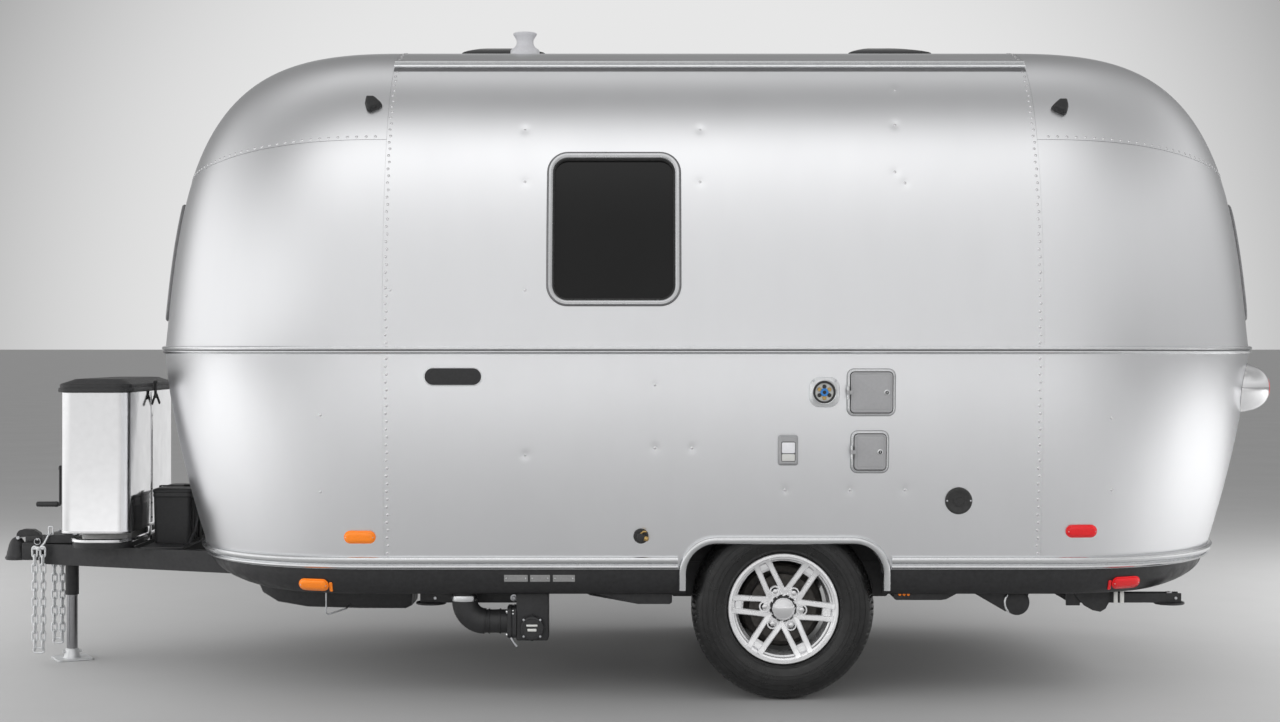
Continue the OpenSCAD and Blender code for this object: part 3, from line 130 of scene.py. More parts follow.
def make_stage():
    scene = bpy.context.scene
    cam = bpy.data.objects.new("camera", bpy.data.cameras.new("camera"))
    cam.location = EYE
    cam.rotation_euler = (pi / 2, 0, 0)
    cam.data.lens = LENS
    cam.data.sensor_width = SENSOR_W
    cam.data.shift_y = -HORIZON_UP / PHOTO[0]
    cam.data.clip_end = FAR
    scene.collection.objects.link(cam)
    scene.camera = cam

    make_world(scene)
    for name, at, size, power in SOFT_BOXES:
        lamp = bpy.data.objects.new(name, bpy.data.lights.new(name, "AREA"))
        lamp.data.shape = "RECTANGLE"
        lamp.data.size, lamp.data.size_y = size
        lamp.data.energy = power
        lamp.location = at
        lamp.visible_glossy = False
        scene.collection.objects.link(lamp)

    floor_mesh = bpy.data.meshes.new("floor")
    r = FLOOR_HALF
    floor_mesh.from_pydata([(-r, -r, 0), (r, -r, 0), (r, r, 0), (-r, r, 0)], [], [(0, 1, 2, 3)])
    floor = bpy.data.objects.new("floor", floor_mesh)
    scene.collection.objects.link(floor)
    floor_mesh.materials.append(FLOOR)
    scene.view_settings.view_transform = "Standard"


# Materials
def material(name, base, rough, metal=0.0, vary=0.04, grain=40.0, rough_vary=0.05, bump=0.0,
             bump_scale=None, stretch=(1, 1, 1), dents=0.0, dent_scale=2.2, **sockets):
    """Principled material whose colour, roughness and bump follow noise in the piece's own space."""
    m = bpy.data.materials.new(name)
    m.use_nodes = True
    nt = m.node_tree
    shader = nt.nodes["Principled BSDF"]
    shader.inputs["Metallic"].default_value = metal
    for key, value in sockets.items():
        shader.inputs[key.replace("_", " ")].default_value = value
    coord = nt.nodes.new("ShaderNodeTexCoord")
    mapping = nt.nodes.new("ShaderNodeMapping")
    mapping.inputs["Scale"].default_value = stretch
    nt.links.new(coord.outputs["Object"], mapping.inputs[0])

    def noise(scale, detail=4.0):
        n = nt.nodes.new("ShaderNodeTexNoise")
        n.inputs["Scale"].default_value = scale
        n.inputs["Detail"].default_value = detail
        nt.links.new(mapping.outputs[0], n.inputs["Vector"])
        return n.outputs["Fac"]

    colour = nt.nodes.new("ShaderNodeValToRGB")
    low, high = colour.color_ramp.elements
    low.position, high.position = 0.3, 0.7
    low.color = (*[max(0.0, c * (1 - vary)) for c in base], 1)
    high.color = (*[min(1.0, c * (1 + vary)) for c in base], 1)
    nt.links.new(noise(grain), colour.inputs[0])
    nt.links.new(colour.outputs[0], shader.inputs["Base Color"])

    gloss = nt.nodes.new("ShaderNodeMapRange")
    gloss.inputs["From Min"].default_value = 0.3
    gloss.inputs["From Max"].default_value = 0.7
    gloss.inputs["To Min"].default_value = max(0.02, rough - rough_vary)
    gloss.inputs["To Max"].default_value = min(1.0, rough + rough_vary)
    nt.links.new(noise(grain * 0.37, 3.0), gloss.inputs["Value"])
    nt.links.new(gloss.outputs[0], shader.inputs["Roughness"])

    normal = None
    for strength, scale, depth, detail in ((dents, dent_scale, 0.02, 1.5),
            (bump, bump_scale or grain, 0.002, 5.0)):
        if strength:
            b = nt.nodes.new("ShaderNodeBump")
            b.inputs["Strength"].default_value = strength
            b.inputs["Distance"].default_value = depth
            nt.links.new(noise(scale, detail), b.inputs["Height"])
            if normal:
                nt.links.new(normal, b.inputs["Normal"])
            normal = b.outputs[0]
    if normal:
        nt.links.new(normal, shader.inputs["Normal"])
    return m


FLOOR = material("floor_paint", (0.4, 0.4, 0.4), 0.6, vary=0.01, grain=3)
SKIN = material("shell_aluminium", (0.86, 0.865, 0.88), 0.29, 1.0, vary=0.008, grain=9, rough_vary=0.015,
                bump=0.05, bump_scale=420, stretch=(1, 1, 0.3), dents=0.035, dent_scale=3.0)
LINING = material("wall_lining", (0.72, 0.71, 0.68), 0.6, vary=0.05, grain=60, bump=0.2, bump_scale=240)
TRIM = material("trim_aluminium", (0.8, 0.81, 0.82), 0.22, 1.0, vary=0.03, grain=60, rough_vary=0.05,
                bump=0.08, bump_scale=600)
POLISHED = material("polished_aluminium", (0.88, 0.88, 0.89), 0.12, 1.0, vary=0.02, grain=30, rough_vary=0.04,
                    dents=0.06, dent_scale=7)
RIVET = material("rivet_aluminium", (0.8, 0.8, 0.81), 0.25, 1.0, vary=0.05, grain=90)
CHASSIS = material("chassis_paint", (0.018, 0.018, 0.019), 0.42, vary=0.25, grain=70, rough_vary=0.1,
                   bump=0.25, bump_scale=420)
PLASTIC = material("black_plastic", (0.022, 0.022, 0.023), 0.45, vary=0.15, grain=120, bump=0.3,
                   bump_scale=900)
RUBBER = material("tyre_rubber", (0.013, 0.013, 0.013), 0.3, vary=0.3, grain=50, rough_vary=0.06, bump=0.1,
                  bump_scale=700)
GASKET = material("gasket_rubber", (0.03, 0.03, 0.03), 0.6, vary=0.2, grain=90)
GLASS = material("dark_glass", (0.006, 0.006, 0.006), 0.06, vary=0.1, grain=4, rough_vary=0.015,
                 Specular_IOR_Level=0.27)
MOULDING = material("window_aluminium", (0.6, 0.605, 0.615), 0.25, 1.0, vary=0.03, grain=60, rough_vary=0.05)
SMOKED = material("smoked_lid", (0.03, 0.03, 0.032), 0.16, vary=0.1, grain=20, rough_vary=0.04)
AMBER = material("amber_lens", (0.86, 0.22, 0.015), 0.14, vary=0.08, grain=200, rough_vary=0.03,
                 Emission_Color=(1.0, 0.25, 0.01, 1), Emission_Strength=0.12)
RED = material("red_lens", (0.62, 0.01, 0.015), 0.14, vary=0.08, grain=200, rough_vary=0.03,
               Emission_Color=(0.9, 0.02, 0.02, 1), Emission_Strength=0.1)
ZINC = material("zinc_steel", (0.62, 0.63, 0.65), 0.3, 1.0, vary=0.08, grain=55, rough_vary=0.08, bump=0.08)
GALVANISED = material("galvanised_steel", (0.66, 0.67, 0.68), 0.42, 0.55, vary=0.06, grain=70,
                      rough_vary=0.08, bump=0.06)
# The jack leg's chrome is darkened: painted reflection of dark surroundings.
CHROME_DARK_REFLECTION = material("jack_chrome_painted_dark_reflection", (0.34, 0.34, 0.35), 0.14, 1.0, vary=0.05, grain=60, rough_vary=0.03)
# Dark grey for thin strips: under the drip rail's bead and in the grooves of the belt and drip rails it is
# painted shade; it also draws the dark outlines round the window and hatch frames.
SEALANT_AND_SHADE = material("grey_sealant_and_painted_shade", (0.15, 0.15, 0.155), 0.55, vary=0.1, grain=80)
PALE = material("roof_plastic", (0.78, 0.78, 0.81), 0.4, vary=0.04, grain=120)
ALLOY = material("alloy_wheel", (0.92, 0.92, 0.93), 0.26, 0.6, vary=0.02, grain=40, rough_vary=0.04)
CAST = material("cast_iron", (0.07, 0.065, 0.06), 0.7, 0.6, vary=0.3, grain=60, bump=0.4)
BRASS = material("brass", (0.62, 0.42, 0.16), 0.3, 1.0, vary=0.1, grain=120, rough_vary=0.1)
BLUE = material("blue_plastic", (0.05, 0.25, 0.65), 0.35, vary=0.1, grain=200)
WHITE = material("pale_plastic", (0.62, 0.62, 0.6), 0.45, vary=0.04, grain=150)
BOARD = material("floor_board", (0.05, 0.045, 0.04), 0.7, vary=0.3, grain=25, bump=0.2)
PAINTED = material("hatch_paint", (0.4, 0.4, 0.41), 0.42, 0.35, vary=0.03, grain=120, bump=0.15,
                   bump_scale=900)
PLATE = material("plate_grey", (0.3, 0.3, 0.3), 0.45, 0.3, vary=0.08, grain=160)
BOTTLE = material("bottle_paint", (0.7, 0.7, 0.69), 0.35, vary=0.05, grain=30)

make_stage()

# Body surface, as in the part's source
MID, END, HALF_W, BELT, ROOF, WALL_Z, WALL_T = 2.44, 1.01, 1.15, 1.32, 2.52, 0.5, 0.045
SIDE_TUCK, END_TUCK, END_LEAN = 0.075, 0.182, 0.135
PLAN_P, SIDE_P, END_P, RISE_P, TUCK_P = 2.4, 4.2, 3.6, 2.2, 1.5
BODY_X = 0.363
SEAM = {-1: BODY_X - MID / 2, 1: BODY_X + MID / 2}
RISE = ROOF - BELT
EAVE_Z = BELT + 0.9167 * RISE
DOME_Z = BELT + 0.6542 * RISE
DOME_DIP = radians(7.3)


def u_at(z):
    if z < BELT:
        return (z - BELT) / (BELT - WALL_Z)
    return math.asin(min(1.0, (z - BELT) / RISE) ** (RISE_P / 2))


def profile(u):
    """Half width, end depth and height at height parameter u (radians above the belt)."""
    if u < 0:
        t = (-u) ** TUCK_P
        return HALF_W - SIDE_TUCK * t, END - END_TUCK * t, BELT + u * (BELT - WALL_Z)
    c, s = max(0.0, cos(u)), sin(u) ** (2 / RISE_P)
    return HALF_W * c ** (2 / SIDE_P), END * c ** (2 / END_P) - END_LEAN * s * (1 - s) ** 2, BELT + RISE * s


def slopes(u, true=True):
    """Changes of width, depth and height along u. The CAD takes the lower wall as upright for its offsets."""
    if u <= 0 and not true:
        return 0.0, 0.0, 1.0
    h = 3e-4
    a, b = profile(min(u + h, pi / 2)), profile(u - h if u > 2 * h or u < 0 else max(u - h, 0))
    return tuple(p - q for p, q in zip(a, b))


def signed(v, p):
    return math.copysign(abs(v) ** p, v)


def end_at(d, t, u, off=0.0):
    """Point and normal on a rounded end: d is -1 in front and 1 behind, t runs from 0 (+Y) to pi (-Y)."""
    w, e, z = profile(u)
    st, ct = max(0.0, sin(t)), cos(t)
    k = 2 * (PLAN_P - 1) / PLAN_P

    def normal(true):
        if w < 1e-6:
            return Vector((0, 0, 1))
        dw, de, dz = slopes(u, true)
        n = Vector((st ** k / e * dz, signed(ct, k) / w * dz, -(st * st * de / e + ct * ct * dw / w)))
        return n.normalized()

    p = Vector((e * st ** (2 / PLAN_P), w * signed(ct, 2 / PLAN_P), z))
    if off:
        p += off * normal(False)
    n = normal(True)
    return Vector((SEAM[d] + d * p.x, p.y, p.z)), Vector((d * n.x, n.y, n.z))


def wall_at(side, x, z, off=0.0):
    """Point and normal on a side wall or on the shoulder of an end, at x and z; side is -1 (left) or 1."""
    u = u_at(z)
    d = 1 if x > BODY_X else -1
    past = d * (x - SEAM[d])
    if past > 0:
        q = min(1.0, past / profile(u)[1]) ** (PLAN_P / 2)
        t = math.asin(q)
        return end_at(d, t if side > 0 else pi - t, u, off)
    p, n = end_at(d, 0.0 if side > 0 else pi, u, off)
    return Vector((x, p.y, p.z)), n


def plan_angle(y, z):
    """The angle t of a rounded end at y and z."""
    t = math.acos(min(1.0, abs(y) / profile(u_at(z))[0]) ** (PLAN_P / 2))
    return t if y >= 0 else pi - t


def tail_at(d, y, z, off=0.0):
    """Point and normal on a rounded end, at y and z."""
    return end_at(d, plan_angle(y, z), u_at(z), off)


def roof_at(x, y, off=0.0):
    """Point and normal on the roof between the seams."""
    c = min(1.0, abs(y) / HALF_W) ** (SIDE_P / 2)
    u = math.acos(c)
    dw, _, dz = slopes(u)
    n = Vector((0, math.copysign(dz, y) if abs(y) > 1e-6 else 0, -dw)).normalized()
    return Vector((x, y, profile(u)[2])) + off * n, n


# Mesh helpers
def piece(name, verts, faces, mat, body=ROOT, slot=None, nodes=(), angle=35, normals=None, mats=None):
    """A mesh that rides on a body; normals are one for each corner, or smooth up to an angle."""
    me = bpy.data.meshes.new(name)
    me.from_pydata([tuple(v) for v in verts], [], faces)
    me.validate()
    if not normals:
        face_out(me)
    for m in (mat if isinstance(mat, (list, tuple)) else [mat]):
        me.materials.append(m)
    if mats:
        me.polygons.foreach_set("material_index", mats)
    me.shade_smooth()
    if normals:
        me.normals_split_custom_set([tuple(n) for n in normals])
    else:
        me.set_sharp_from_angle(angle=radians(angle))
    ob = bpy.data.objects.new(name, me)
    bpy.context.scene.collection.objects.link(ob)
    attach(ob, body)
    if nodes:
        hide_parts(*nodes)


def face_out(me):
    """Turns the faces of each closed shape outwards."""
    bm = bmesh.new()
    bm.from_mesh(me)
    bmesh.ops.recalc_face_normals(bm, faces=bm.faces)
    bm.to_mesh(me)
    bm.free()


def add_bevel(ob, width):
    mod = ob.modifiers.new("edge", "BEVEL")
    mod.width = width
    mod.segments = 2
    mod.limit_method = "ANGLE"
    mod.angle_limit = radians(40)
    mod.harden_normals = False


class Build:
    """Collects faces of several shapes for one piece."""

    def __init__(self):
        self.v, self.f, self.m = [], [], []

    def add(self, verts, faces, mat=0):
        k = len(self.v)
        self.v += [Vector(v) for v in verts]
        self.f += [[i + k for i in face] for face in faces]
        self.m += [mat] * len(faces)

    def piece(self, name, mat, **kw):
        piece(name, self.v, self.f, mat, mats=self.m, **kw)


def rounded(cx, cz, w, h, r, k=8, m=6):
    """A rounded rectangle as a function of how far it is set in: lists of points with matching order."""
    def outline(inset=0.0):
        a, b, q = w / 2 - inset, h / 2 - inset, max(r - inset, 1e-4)
        arcs = []
        for turn, (sx, sz) in zip((0, 90, 180, 270), ((1, 1), (-1, 1), (-1, -1), (1, -1))):
            angles = [radians(turn + 90 * i / k) for i in range(k + 1)]
            arcs.append([(cx + sx * (a - q) + q * cos(g), cz + sz * (b - q) + q * sin(g)) for g in angles])
        pts = []
        for arc, after in zip(arcs, arcs[1:] + arcs[:1]):
            (x0, z0), (x1, z1) = arc[-1], after[0]
            pts += arc + [(x0 + (x1 - x0) * i / m, z0 + (z1 - z0) * i / m) for i in range(1, m)]
        return pts
    return outline


def disc(cx, cz, r, n=48):
    """A circle as a function of how far it is set in."""
    return lambda inset=0.0: [(cx + (r - inset) * cos(2 * pi * i / n), cz + (r - inset) * sin(2 * pi * i / n))
                              for i in range(n)]


def ring_faces(rows, n, closed_rows=False, closed=True):
    """Quads of a grid of rows by n columns."""
    out = []
    for i in range(rows if closed_rows else rows - 1):
        for j in range(n if closed else n - 1):
            a, b = i * n + j, i * n + (j + 1) % n
            c, d = ((i + 1) % rows) * n + (j + 1) % n, ((i + 1) % rows) * n + j
            out.append((a, b, c, d))
    return out


def tube_faces(rows, n, closed=False):
    """Quads between loops of n points; open ends get caps, closed joins the last loop to the first."""
    faces = ring_faces(rows, n, closed_rows=closed)
    if not closed:
        faces += [tuple(reversed(range(n))), tuple(range((rows - 1) * n, rows * n))]
    return faces


def loft(build, loops, mat=0, closed=False):
    """A skin over loops of points."""
    build.add([v for loop in loops for v in loop], tube_faces(len(loops), len(loops[0]), closed), mat)


def ring(build, surf, outline, section, mat=0):
    """A moulding around an outline: section is a list of (set in, height over the skin)."""
    loft(build, [[surf(a, b, off)[0] for a, b in outline(inset)] for inset, off in section], mat, True)


def sweep(build, stations, section, mat=0):
    """A bar along stations, functions of (across, off) that give a point; section is a closed polygon."""
    loft(build, [[at(a, o) for a, o in section] for at in stations], mat)


def inside(p, loop):
    """Whether a point lies in a polygon."""
    x, y = p
    hit = False
    for (x0, y0), (x1, y1) in zip(loop, loop[1:] + loop[:1]):
        if (y0 > y) != (y1 > y) and x < (x1 - x0) * (y - y0) / (y1 - y0) + x0:
            hit = not hit
    return hit


def near(p, loops, gap):
    """Whether a point of the loops is closer than a gap in both directions."""
    for loop in loops:
        for q in loop:
            if abs(q[0] - p[0]) < gap and abs(q[1] - p[1]) < gap:
                return True
    return False


def sheet(name, surf, loop, holes=(), grid=(), off=0.0, thick=WALL_T, step=0.04, mat=None, **kw):
    """A closed panel: loop and holes are outlines and grid the inner points, all in surf's own plane."""
    loops = [loop, *holes]
    pts, edges = [], []
    for lp in loops:
        k = len(pts)
        pts += lp
        edges += [(k + i, k + (i + 1) % len(lp)) for i in range(len(lp))]

    def on_panel(p):
        return inside(p, loop) and not any(inside(p, hole) for hole in holes)

    inner = [g for g in grid if on_panel(g) and not near(g, loops, step * 0.45)]
    vs, _, fs, *_ = delaunay_2d_cdt([Vector(p) for p in pts + inner], edges, [], 0, 1e-6)
    keep = []
    for f in fs:
        c = (sum(vs[i].x for i in f) / 3, sum(vs[i].y for i in f) / 3)
        if on_panel(c):
            keep.append(tuple(f))
    count, verts, norms = {}, [], []
    for f in keep:
        for a, b in zip(f, f[1:] + f[:1]):
            count[(a, b)] = count.get((a, b), 0) + 1
    for v in vs:
        p, n = surf(v.x, v.y, off)
        verts.append(p)
        norms.append(n)
    k = len(verts)
    verts += [surf(v.x, v.y, off - thick)[0] for v in vs]
    i, j, l = keep[0]
    flip = (verts[j] - verts[i]).cross(verts[l] - verts[i]).dot(norms[i]) < 0
    faces, loop_n, mats = [], [], []
    for f in keep:
        front = tuple(reversed(f)) if flip else f
        faces.append(front)
        loop_n += [norms[q] for q in front]
        mats.append(0)
        back = tuple(q + k for q in reversed(front))
        faces.append(back)
        loop_n += [-norms[q - k] for q in back]
        mats.append(1)
    for (a, b) in count:
        if (b, a) not in count:
            a, b = (b, a) if flip else (a, b)
            face = (b, a, a + k, b + k)
            n = (verts[a] - verts[b]).cross(verts[b + k] - verts[b]).normalized()
            faces.append(face)
            loop_n += [n] * 4
            mats.append(0)
    piece(name, verts, faces, mat or [SKIN, LINING], normals=loop_n, mats=mats, **kw)


def lattice(x0, x1, dx, z0, z1, dz):
    """Grid points of a rectangle, about dx and dz apart."""
    nx, nz = max(1, round((x1 - x0) / dx)), max(1, round((z1 - z0) / dz))
    return [(x0 + (x1 - x0) * i / nx, z0 + (z1 - z0) * j / nz) for i in range(nx + 1) for j in range(nz + 1)]


def line(a, b, step):
    """Points from a up to, not with, b."""
    n = max(1, round(math.dist(a, b) / step))
    return [(a[0] + (b[0] - a[0]) * i / n, a[1] + (b[1] - a[1]) * i / n) for i in range(n)]


def path(*corners, step):
    """A closed line round corners."""
    out = []
    for a, b in zip(corners, corners[1:] + corners[:1]):
        out += line(a, b, step)
    return out


# Shell panels
GAP = 0.0006             # half of the open line between two sheets
FIT = 0.0003             # clearance between pieces
SKIN_OFF, DOME_OFF = 0.0012, 0.001
GRID_X, GRID_LOW, GRID_HIGH, GRID_END = 0.07, 0.05, 0.04, 0.03
ROOF_STEP, ROOF_GRID, BELT_CLEAR, DOME_GAP = 0.06, (0.08, 0.05), 0.004, 0.0008
WINDOW_W, WINDOW_H, WINDOW_R = 0.495, 0.573, 0.076
WINDOW_Z = BELT + 0.3717 * RISE
WINDOW_X = {-1: BODY_X - 0.366, 1: BODY_X + 0.277}
END_WINDOW_W, END_WINDOW_H, END_WINDOW_Z = 0.9, 0.3917 * RISE, BELT + 0.2917 * RISE
WINDOW_LAP = 0.01
WHEEL_X, ARCH_W, ARCH_Z, ARCH_R = 0.632, 0.733, 0.596, 0.112
DOOR_X, DOOR_W, DOOR_Z0, DOOR_GAP, DOOR_R = BODY_X - 0.919, 0.68, 0.58, 0.006, 0.09
DOOR_Z1 = BELT + 0.6833 * RISE
DOOR_WINDOW = (DOOR_X + DOOR_W / 2, BELT + 0.3083 * RISE, 0.34, END_WINDOW_H, 0.06)
HATCHES = {"upper": (0.946, 1.16, 0.178, 0.173), "lower": (0.942, 0.94, 0.14, 0.156)}
HATCH_R, HATCH_FLANGE = 0.026, 0.015
VENTS, VENT_HOLE = (SEAM[-1] + 0.379, SEAM[1] - 0.443), 0.28


def on_wall(side):
    """A side wall as a function of x, z and height over the skin."""
    return lambda x, z, off=0.0: wall_at(side, x, z, off)


def on_tail(d):
    """A rounded end as a function of y, z and height over the skin."""
    return lambda y, z, off=0.0: tail_at(d, y, z, off)


def on_end(d):
    """A rounded end as a function of plan angle, z and height over the skin."""
    return lambda t, z, off=0.0: end_at(d, t, u_at(z), off)


def photo_wall(px, py):
    """The left wall's point that the photo shows at a pixel."""
    y = -HALF_W
    for _ in range(8):
        far = (y - EYE.y) / FOCAL
        x = EYE.x + (px - PHOTO[0] / 2) * far
        z = EYE.z + (PHOTO[1] / 2 - HORIZON_UP - py) * far
        y = wall_at(-1, x, z)[0].y
    return x, z


# Single rivets of the walls, each in a shallow dent, by their pixels in the photo
RIVET_PIXELS = (
    (895, 90), (895, 125), (895, 172), (320, 415), (320, 492), (1112, 418), (1112, 490), (655, 385),
    (525, 455), (850, 490), (700, 130), (700, 182), (525, 130), (525, 182), (905, 183), (655, 448),
    (692, 448), (905, 490), (785, 490), (525, 290), (390, 290),
)
LONE_RIVETS = [photo_wall(*at) for at in RIVET_PIXELS]
DENT_R, DENT_DEEP = 0.018, 0.0012


def dented(side):
    """The side wall with a dent round each lone rivet."""
    def place(x, z, off=0.0):
        p, n = wall_at(side, x, z, off)
        for sx, sz in LONE_RIVETS:
            q = ((x - sx) ** 2 + (z - sz) ** 2) / DENT_R ** 2
            if q < 7:
                deep = DENT_DEEP * math.exp(-q)
                p = p - n * deep
                n = (n - Vector((x - sx, 0, z - sz)) * (2 * deep / DENT_R ** 2)).normalized()
        return p, n
    return place


def dent_points():
    """Points for the sheets' grids, closer together in the dents."""
    return [(x + DENT_R * k * cos(a), z + DENT_R * k * sin(a)) for x, z in LONE_RIVETS
            for k in (0.05, 0.35, 0.7, 1.1, 1.6, 2.2) for a in (2 * pi * i / 12 for i in range(12))]


def door_outline(gap=0.0, m=30):
    """The door's outline as a function of how far it is set in, with a gap all round."""
    return rounded(DOOR_X + DOOR_W / 2, (DOOR_Z0 + DOOR_Z1) / 2, DOOR_W + 2 * gap,
                   DOOR_Z1 - DOOR_Z0 + 2 * gap, DOOR_R, k=10, m=m)


def arch_path(grow=0.0, k=10):
    """The wheel opening's upper corners, from front to rear."""
    x0, x1, top, r = WHEEL_X - ARCH_W / 2 - grow, WHEEL_X + ARCH_W / 2 + grow, ARCH_Z + grow, ARCH_R + grow
    left = [(x0 + r - r * cos(radians(90 * i / k)),
             top - r + r * sin(radians(90 * i / k))) for i in range(k + 1)]
    right = [(x1 - r + r * sin(radians(90 * i / k)),
              top - r + r * cos(radians(90 * i / k))) for i in range(k + 1)]
    return left + right


def skin(name, surf, loop, node=None, **kw):
    """A sheet of the shell's skin in place of a CAD node."""
    sheet("skin_" + name, surf, loop, slot="shell_skin", nodes=[node or name], **kw)


def make_walls():
    """Both side walls in two sheets each, the door's skin and the roof."""
    x0, x1 = SEAM[-1] + GAP, SEAM[1] - GAP
    low, high, eave = BELT - GAP, BELT + GAP, EAVE_Z - GAP
    grid_low = lattice(x0, x1, GRID_X, WALL_Z, BELT, GRID_LOW) + dent_points()
    grid_high = lattice(x0, x1, GRID_X, BELT, EAVE_Z, GRID_HIGH) + dent_points()
    door = door_outline(DOOR_GAP)(0)
    d0, d1 = min(p[0] for p in door), max(p[0] for p in door)
    # the door's edge below and above the belt, each from left to right
    below = [p for p in door if p[1] < low - BELT_CLEAR]
    above = [p for p in door if p[1] > high + BELT_CLEAR]
    below.sort(key=lambda p: math.atan2(p[1] - low, p[0] - (d0 + d1) / 2))
    above.sort(key=lambda p: -math.atan2(p[1] - high, p[0] - (d0 + d1) / 2))
    arch = [(WHEEL_X - ARCH_W / 2, WALL_Z), *arch_path(), (WHEEL_X + ARCH_W / 2, WALL_Z)]
    corners = [(x0, WALL_Z), *arch, (x1, WALL_Z)]
    bottom = []
    for a, b in zip(corners, corners[1:]):
        bottom += line(a, b, GRID_LOW)
    right = bottom + line((x1, WALL_Z), (x1, low), GRID_LOW)
    left = line((x0, low), (x0, WALL_Z), GRID_LOW)
    top = line((x1, high), (x1, eave), GRID_HIGH) + line((x1, eave), (x0, eave), GRID_X)
    top += line((x0, eave), (x0, high), GRID_HIGH)
    hatches = [rounded(*h, HATCH_R)(HATCH_FLANGE - FIT) for h in HATCHES.values()]
    window = (WINDOW_Z, WINDOW_W, WINDOW_H, WINDOW_R)
    windows = [[rounded(WINDOW_X[s], *window, m=12)(WINDOW_LAP)] for s in (-1, 1)]

    skin("side_lower_left", dented(-1), right + line((x1, low), (x0, low), GRID_X) + left, holes=hatches,
         grid=grid_low, off=SKIN_OFF)
    round_door = line((x1, low), (d1, low), GRID_X) + [(d1, low)] + below[::-1] + [(d0, low)]
    round_door += line((d0, low), (x0, low), GRID_X)[1:]
    skin("side_lower_right", dented(1), right + round_door + left, grid=grid_low, off=SKIN_OFF)
    skin("side_upper_left", dented(-1), line((x0, high), (x1, high), GRID_X) + top, holes=windows[0],
         grid=grid_high, off=SKIN_OFF)
    round_door = line((x0, high), (d0, high), GRID_X) + [(d0, high)] + above + [(d1, high)]
    round_door += line((d1, high), (x1, high), GRID_X)[1:]
    skin("side_upper_right", dented(1), round_door + top, holes=windows[1], grid=grid_high, off=SKIN_OFF)
    skin("door", on_wall(1), door_outline()(0), holes=[rounded(*DOOR_WINDOW, m=12)(0)], body="door_body",
         grid=lattice(DOOR_X, DOOR_X + DOOR_W, GRID_X, DOOR_Z0, DOOR_Z1, GRID_HIGH))

    ye, half = roof_edge(eave + 2 * GAP), VENT_HOLE / 2
    vents = [[(v + a * half, b * half) for a, b in ((-1, -1), (1, -1), (1, 1), (-1, 1))] for v in VENTS]
    skin("roof", roof_at, path((x0, -ye), (x1, -ye), (x1, ye), (x0, ye), step=ROOF_STEP), "roof_panel",
         holes=vents, grid=lattice(x0, x1, ROOF_GRID[0], -ye, ye, ROOF_GRID[1]), off=SKIN_OFF)


def roof_edge(z):
    """Half width of the roof at a height."""
    return profile(u_at(z))[0]


def dome_u(t):
    """Height parameter of the seam under an end's dome."""
    return u_at(DOME_Z) - DOME_DIP * sin(t) ** 2


def make_ends():
    """The lower and middle sheets and the dome of both ends."""
    cols, rows = 96, 18
    ts = [pi * j / cols for j in range(cols + 1)]
    zs = [WALL_Z + (BELT - GAP - WALL_Z) * i / rows for i in range(rows + 1)]
    tops = [profile(dome_u(t))[2] for t in ts]
    high = BELT + GAP
    lower = [(t, zs[0]) for t in ts] + [(pi, z) for z in zs[1:]]
    lower += [(t, zs[-1]) for t in ts[-2::-1]] + [(0, z) for z in zs[-2:0:-1]]
    middle = [(t, high) for t in ts] + line((pi, high), (pi, tops[-1]), GRID_HIGH)[1:]
    middle += list(zip(ts, tops))[::-1] + line((0, tops[0]), (0, high), GRID_HIGH)[1:]
    window = rounded(0, END_WINDOW_Z, END_WINDOW_W, END_WINDOW_H, WINDOW_R, m=16)(WINDOW_LAP)
    hole = [(plan_angle(y, z), z) for y, z in window]
    for d, end in ((-1, "front"), (1, "rear")):
        skin(f"{end}_lower", on_end(d), lower, f"end_{end}_lower", step=GRID_END,
             grid=[(t, z) for t in ts[1:-1:2] for z in zs[1:-1]])
        skin(f"{end}_middle", on_end(d), middle, f"end_{end}_middle", step=GRID_END, holes=[hole],
             grid=lattice(0, pi, 0.06, high, max(tops), GRID_HIGH))
        make_dome(d, end)


def make_dome(d, end):
    """The dome of an end: rows by height up to a steep edge, then rows that close in on the top."""
    cols, rows_low, rows_top = 96, 26, 14
    edge = radians(80)
    top_w = profile(edge)[0]
    verts, norms = [], []
    for layer in (DOME_OFF, -WALL_T):
        for i in range(rows_low + rows_top):
            for j in range(cols + 1):
                t = pi * j / cols
                if i < rows_low:
                    start = dome_u(t) + DOME_GAP
                    u = start + (edge - start) * i / rows_low
                else:
                    w = top_w * (1 - (i - rows_low) / rows_top)
                    u = math.acos((w / HALF_W) ** (SIDE_P / 2))
                p, n = end_at(d, t, u, layer)
                verts.append(p)
                norms.append(n)
        verts.append(Vector((SEAM[d], 0, ROOF + layer)))
        norms.append(Vector((0, 0, 1)))
    n, rows = cols + 1, rows_low + rows_top
    size = rows * n + 1
    faces, loop_n, mats = [], [], []

    def emit(face, flip, back):
        face = tuple(reversed(face)) if flip else tuple(face)
        faces.append(face)
        loop_n.extend((-norms[q] if back else norms[q]) for q in face)
        mats.append(1 if back else 0)

    for layer in (0, 1):
        k = layer * size
        flip = (d < 0) == bool(layer)
        for f in ring_faces(rows, n, closed=False):
            emit([q + k for q in f], flip, layer)
        for j in range(cols):
            emit([k + (rows - 1) * n + j, k + (rows - 1) * n + j + 1, k + size - 1], flip, layer)
    rim = list(range(n)) + [i * n + cols for i in range(1, rows)]
    rim += [size - 1] + [i * n for i in range(rows - 1, 0, -1)]
    for a, b in zip(rim, rim[1:] + rim[:1]):
        face = (b, b + size, a + size, a) if d > 0 else (a, a + size, b + size, b)
        faces.append(face)
        nn = (verts[face[1]] - verts[face[0]]).cross(verts[face[2]] - verts[face[0]]).normalized()
        loop_n.extend([nn] * 4)
        mats.append(0)
    piece(f"skin_{end}_dome", verts, faces, [SKIN, LINING], normals=loop_n, mats=mats, slot="shell_skin",
          nodes=[f"end_{end}_dome"])


make_walls()
make_ends()

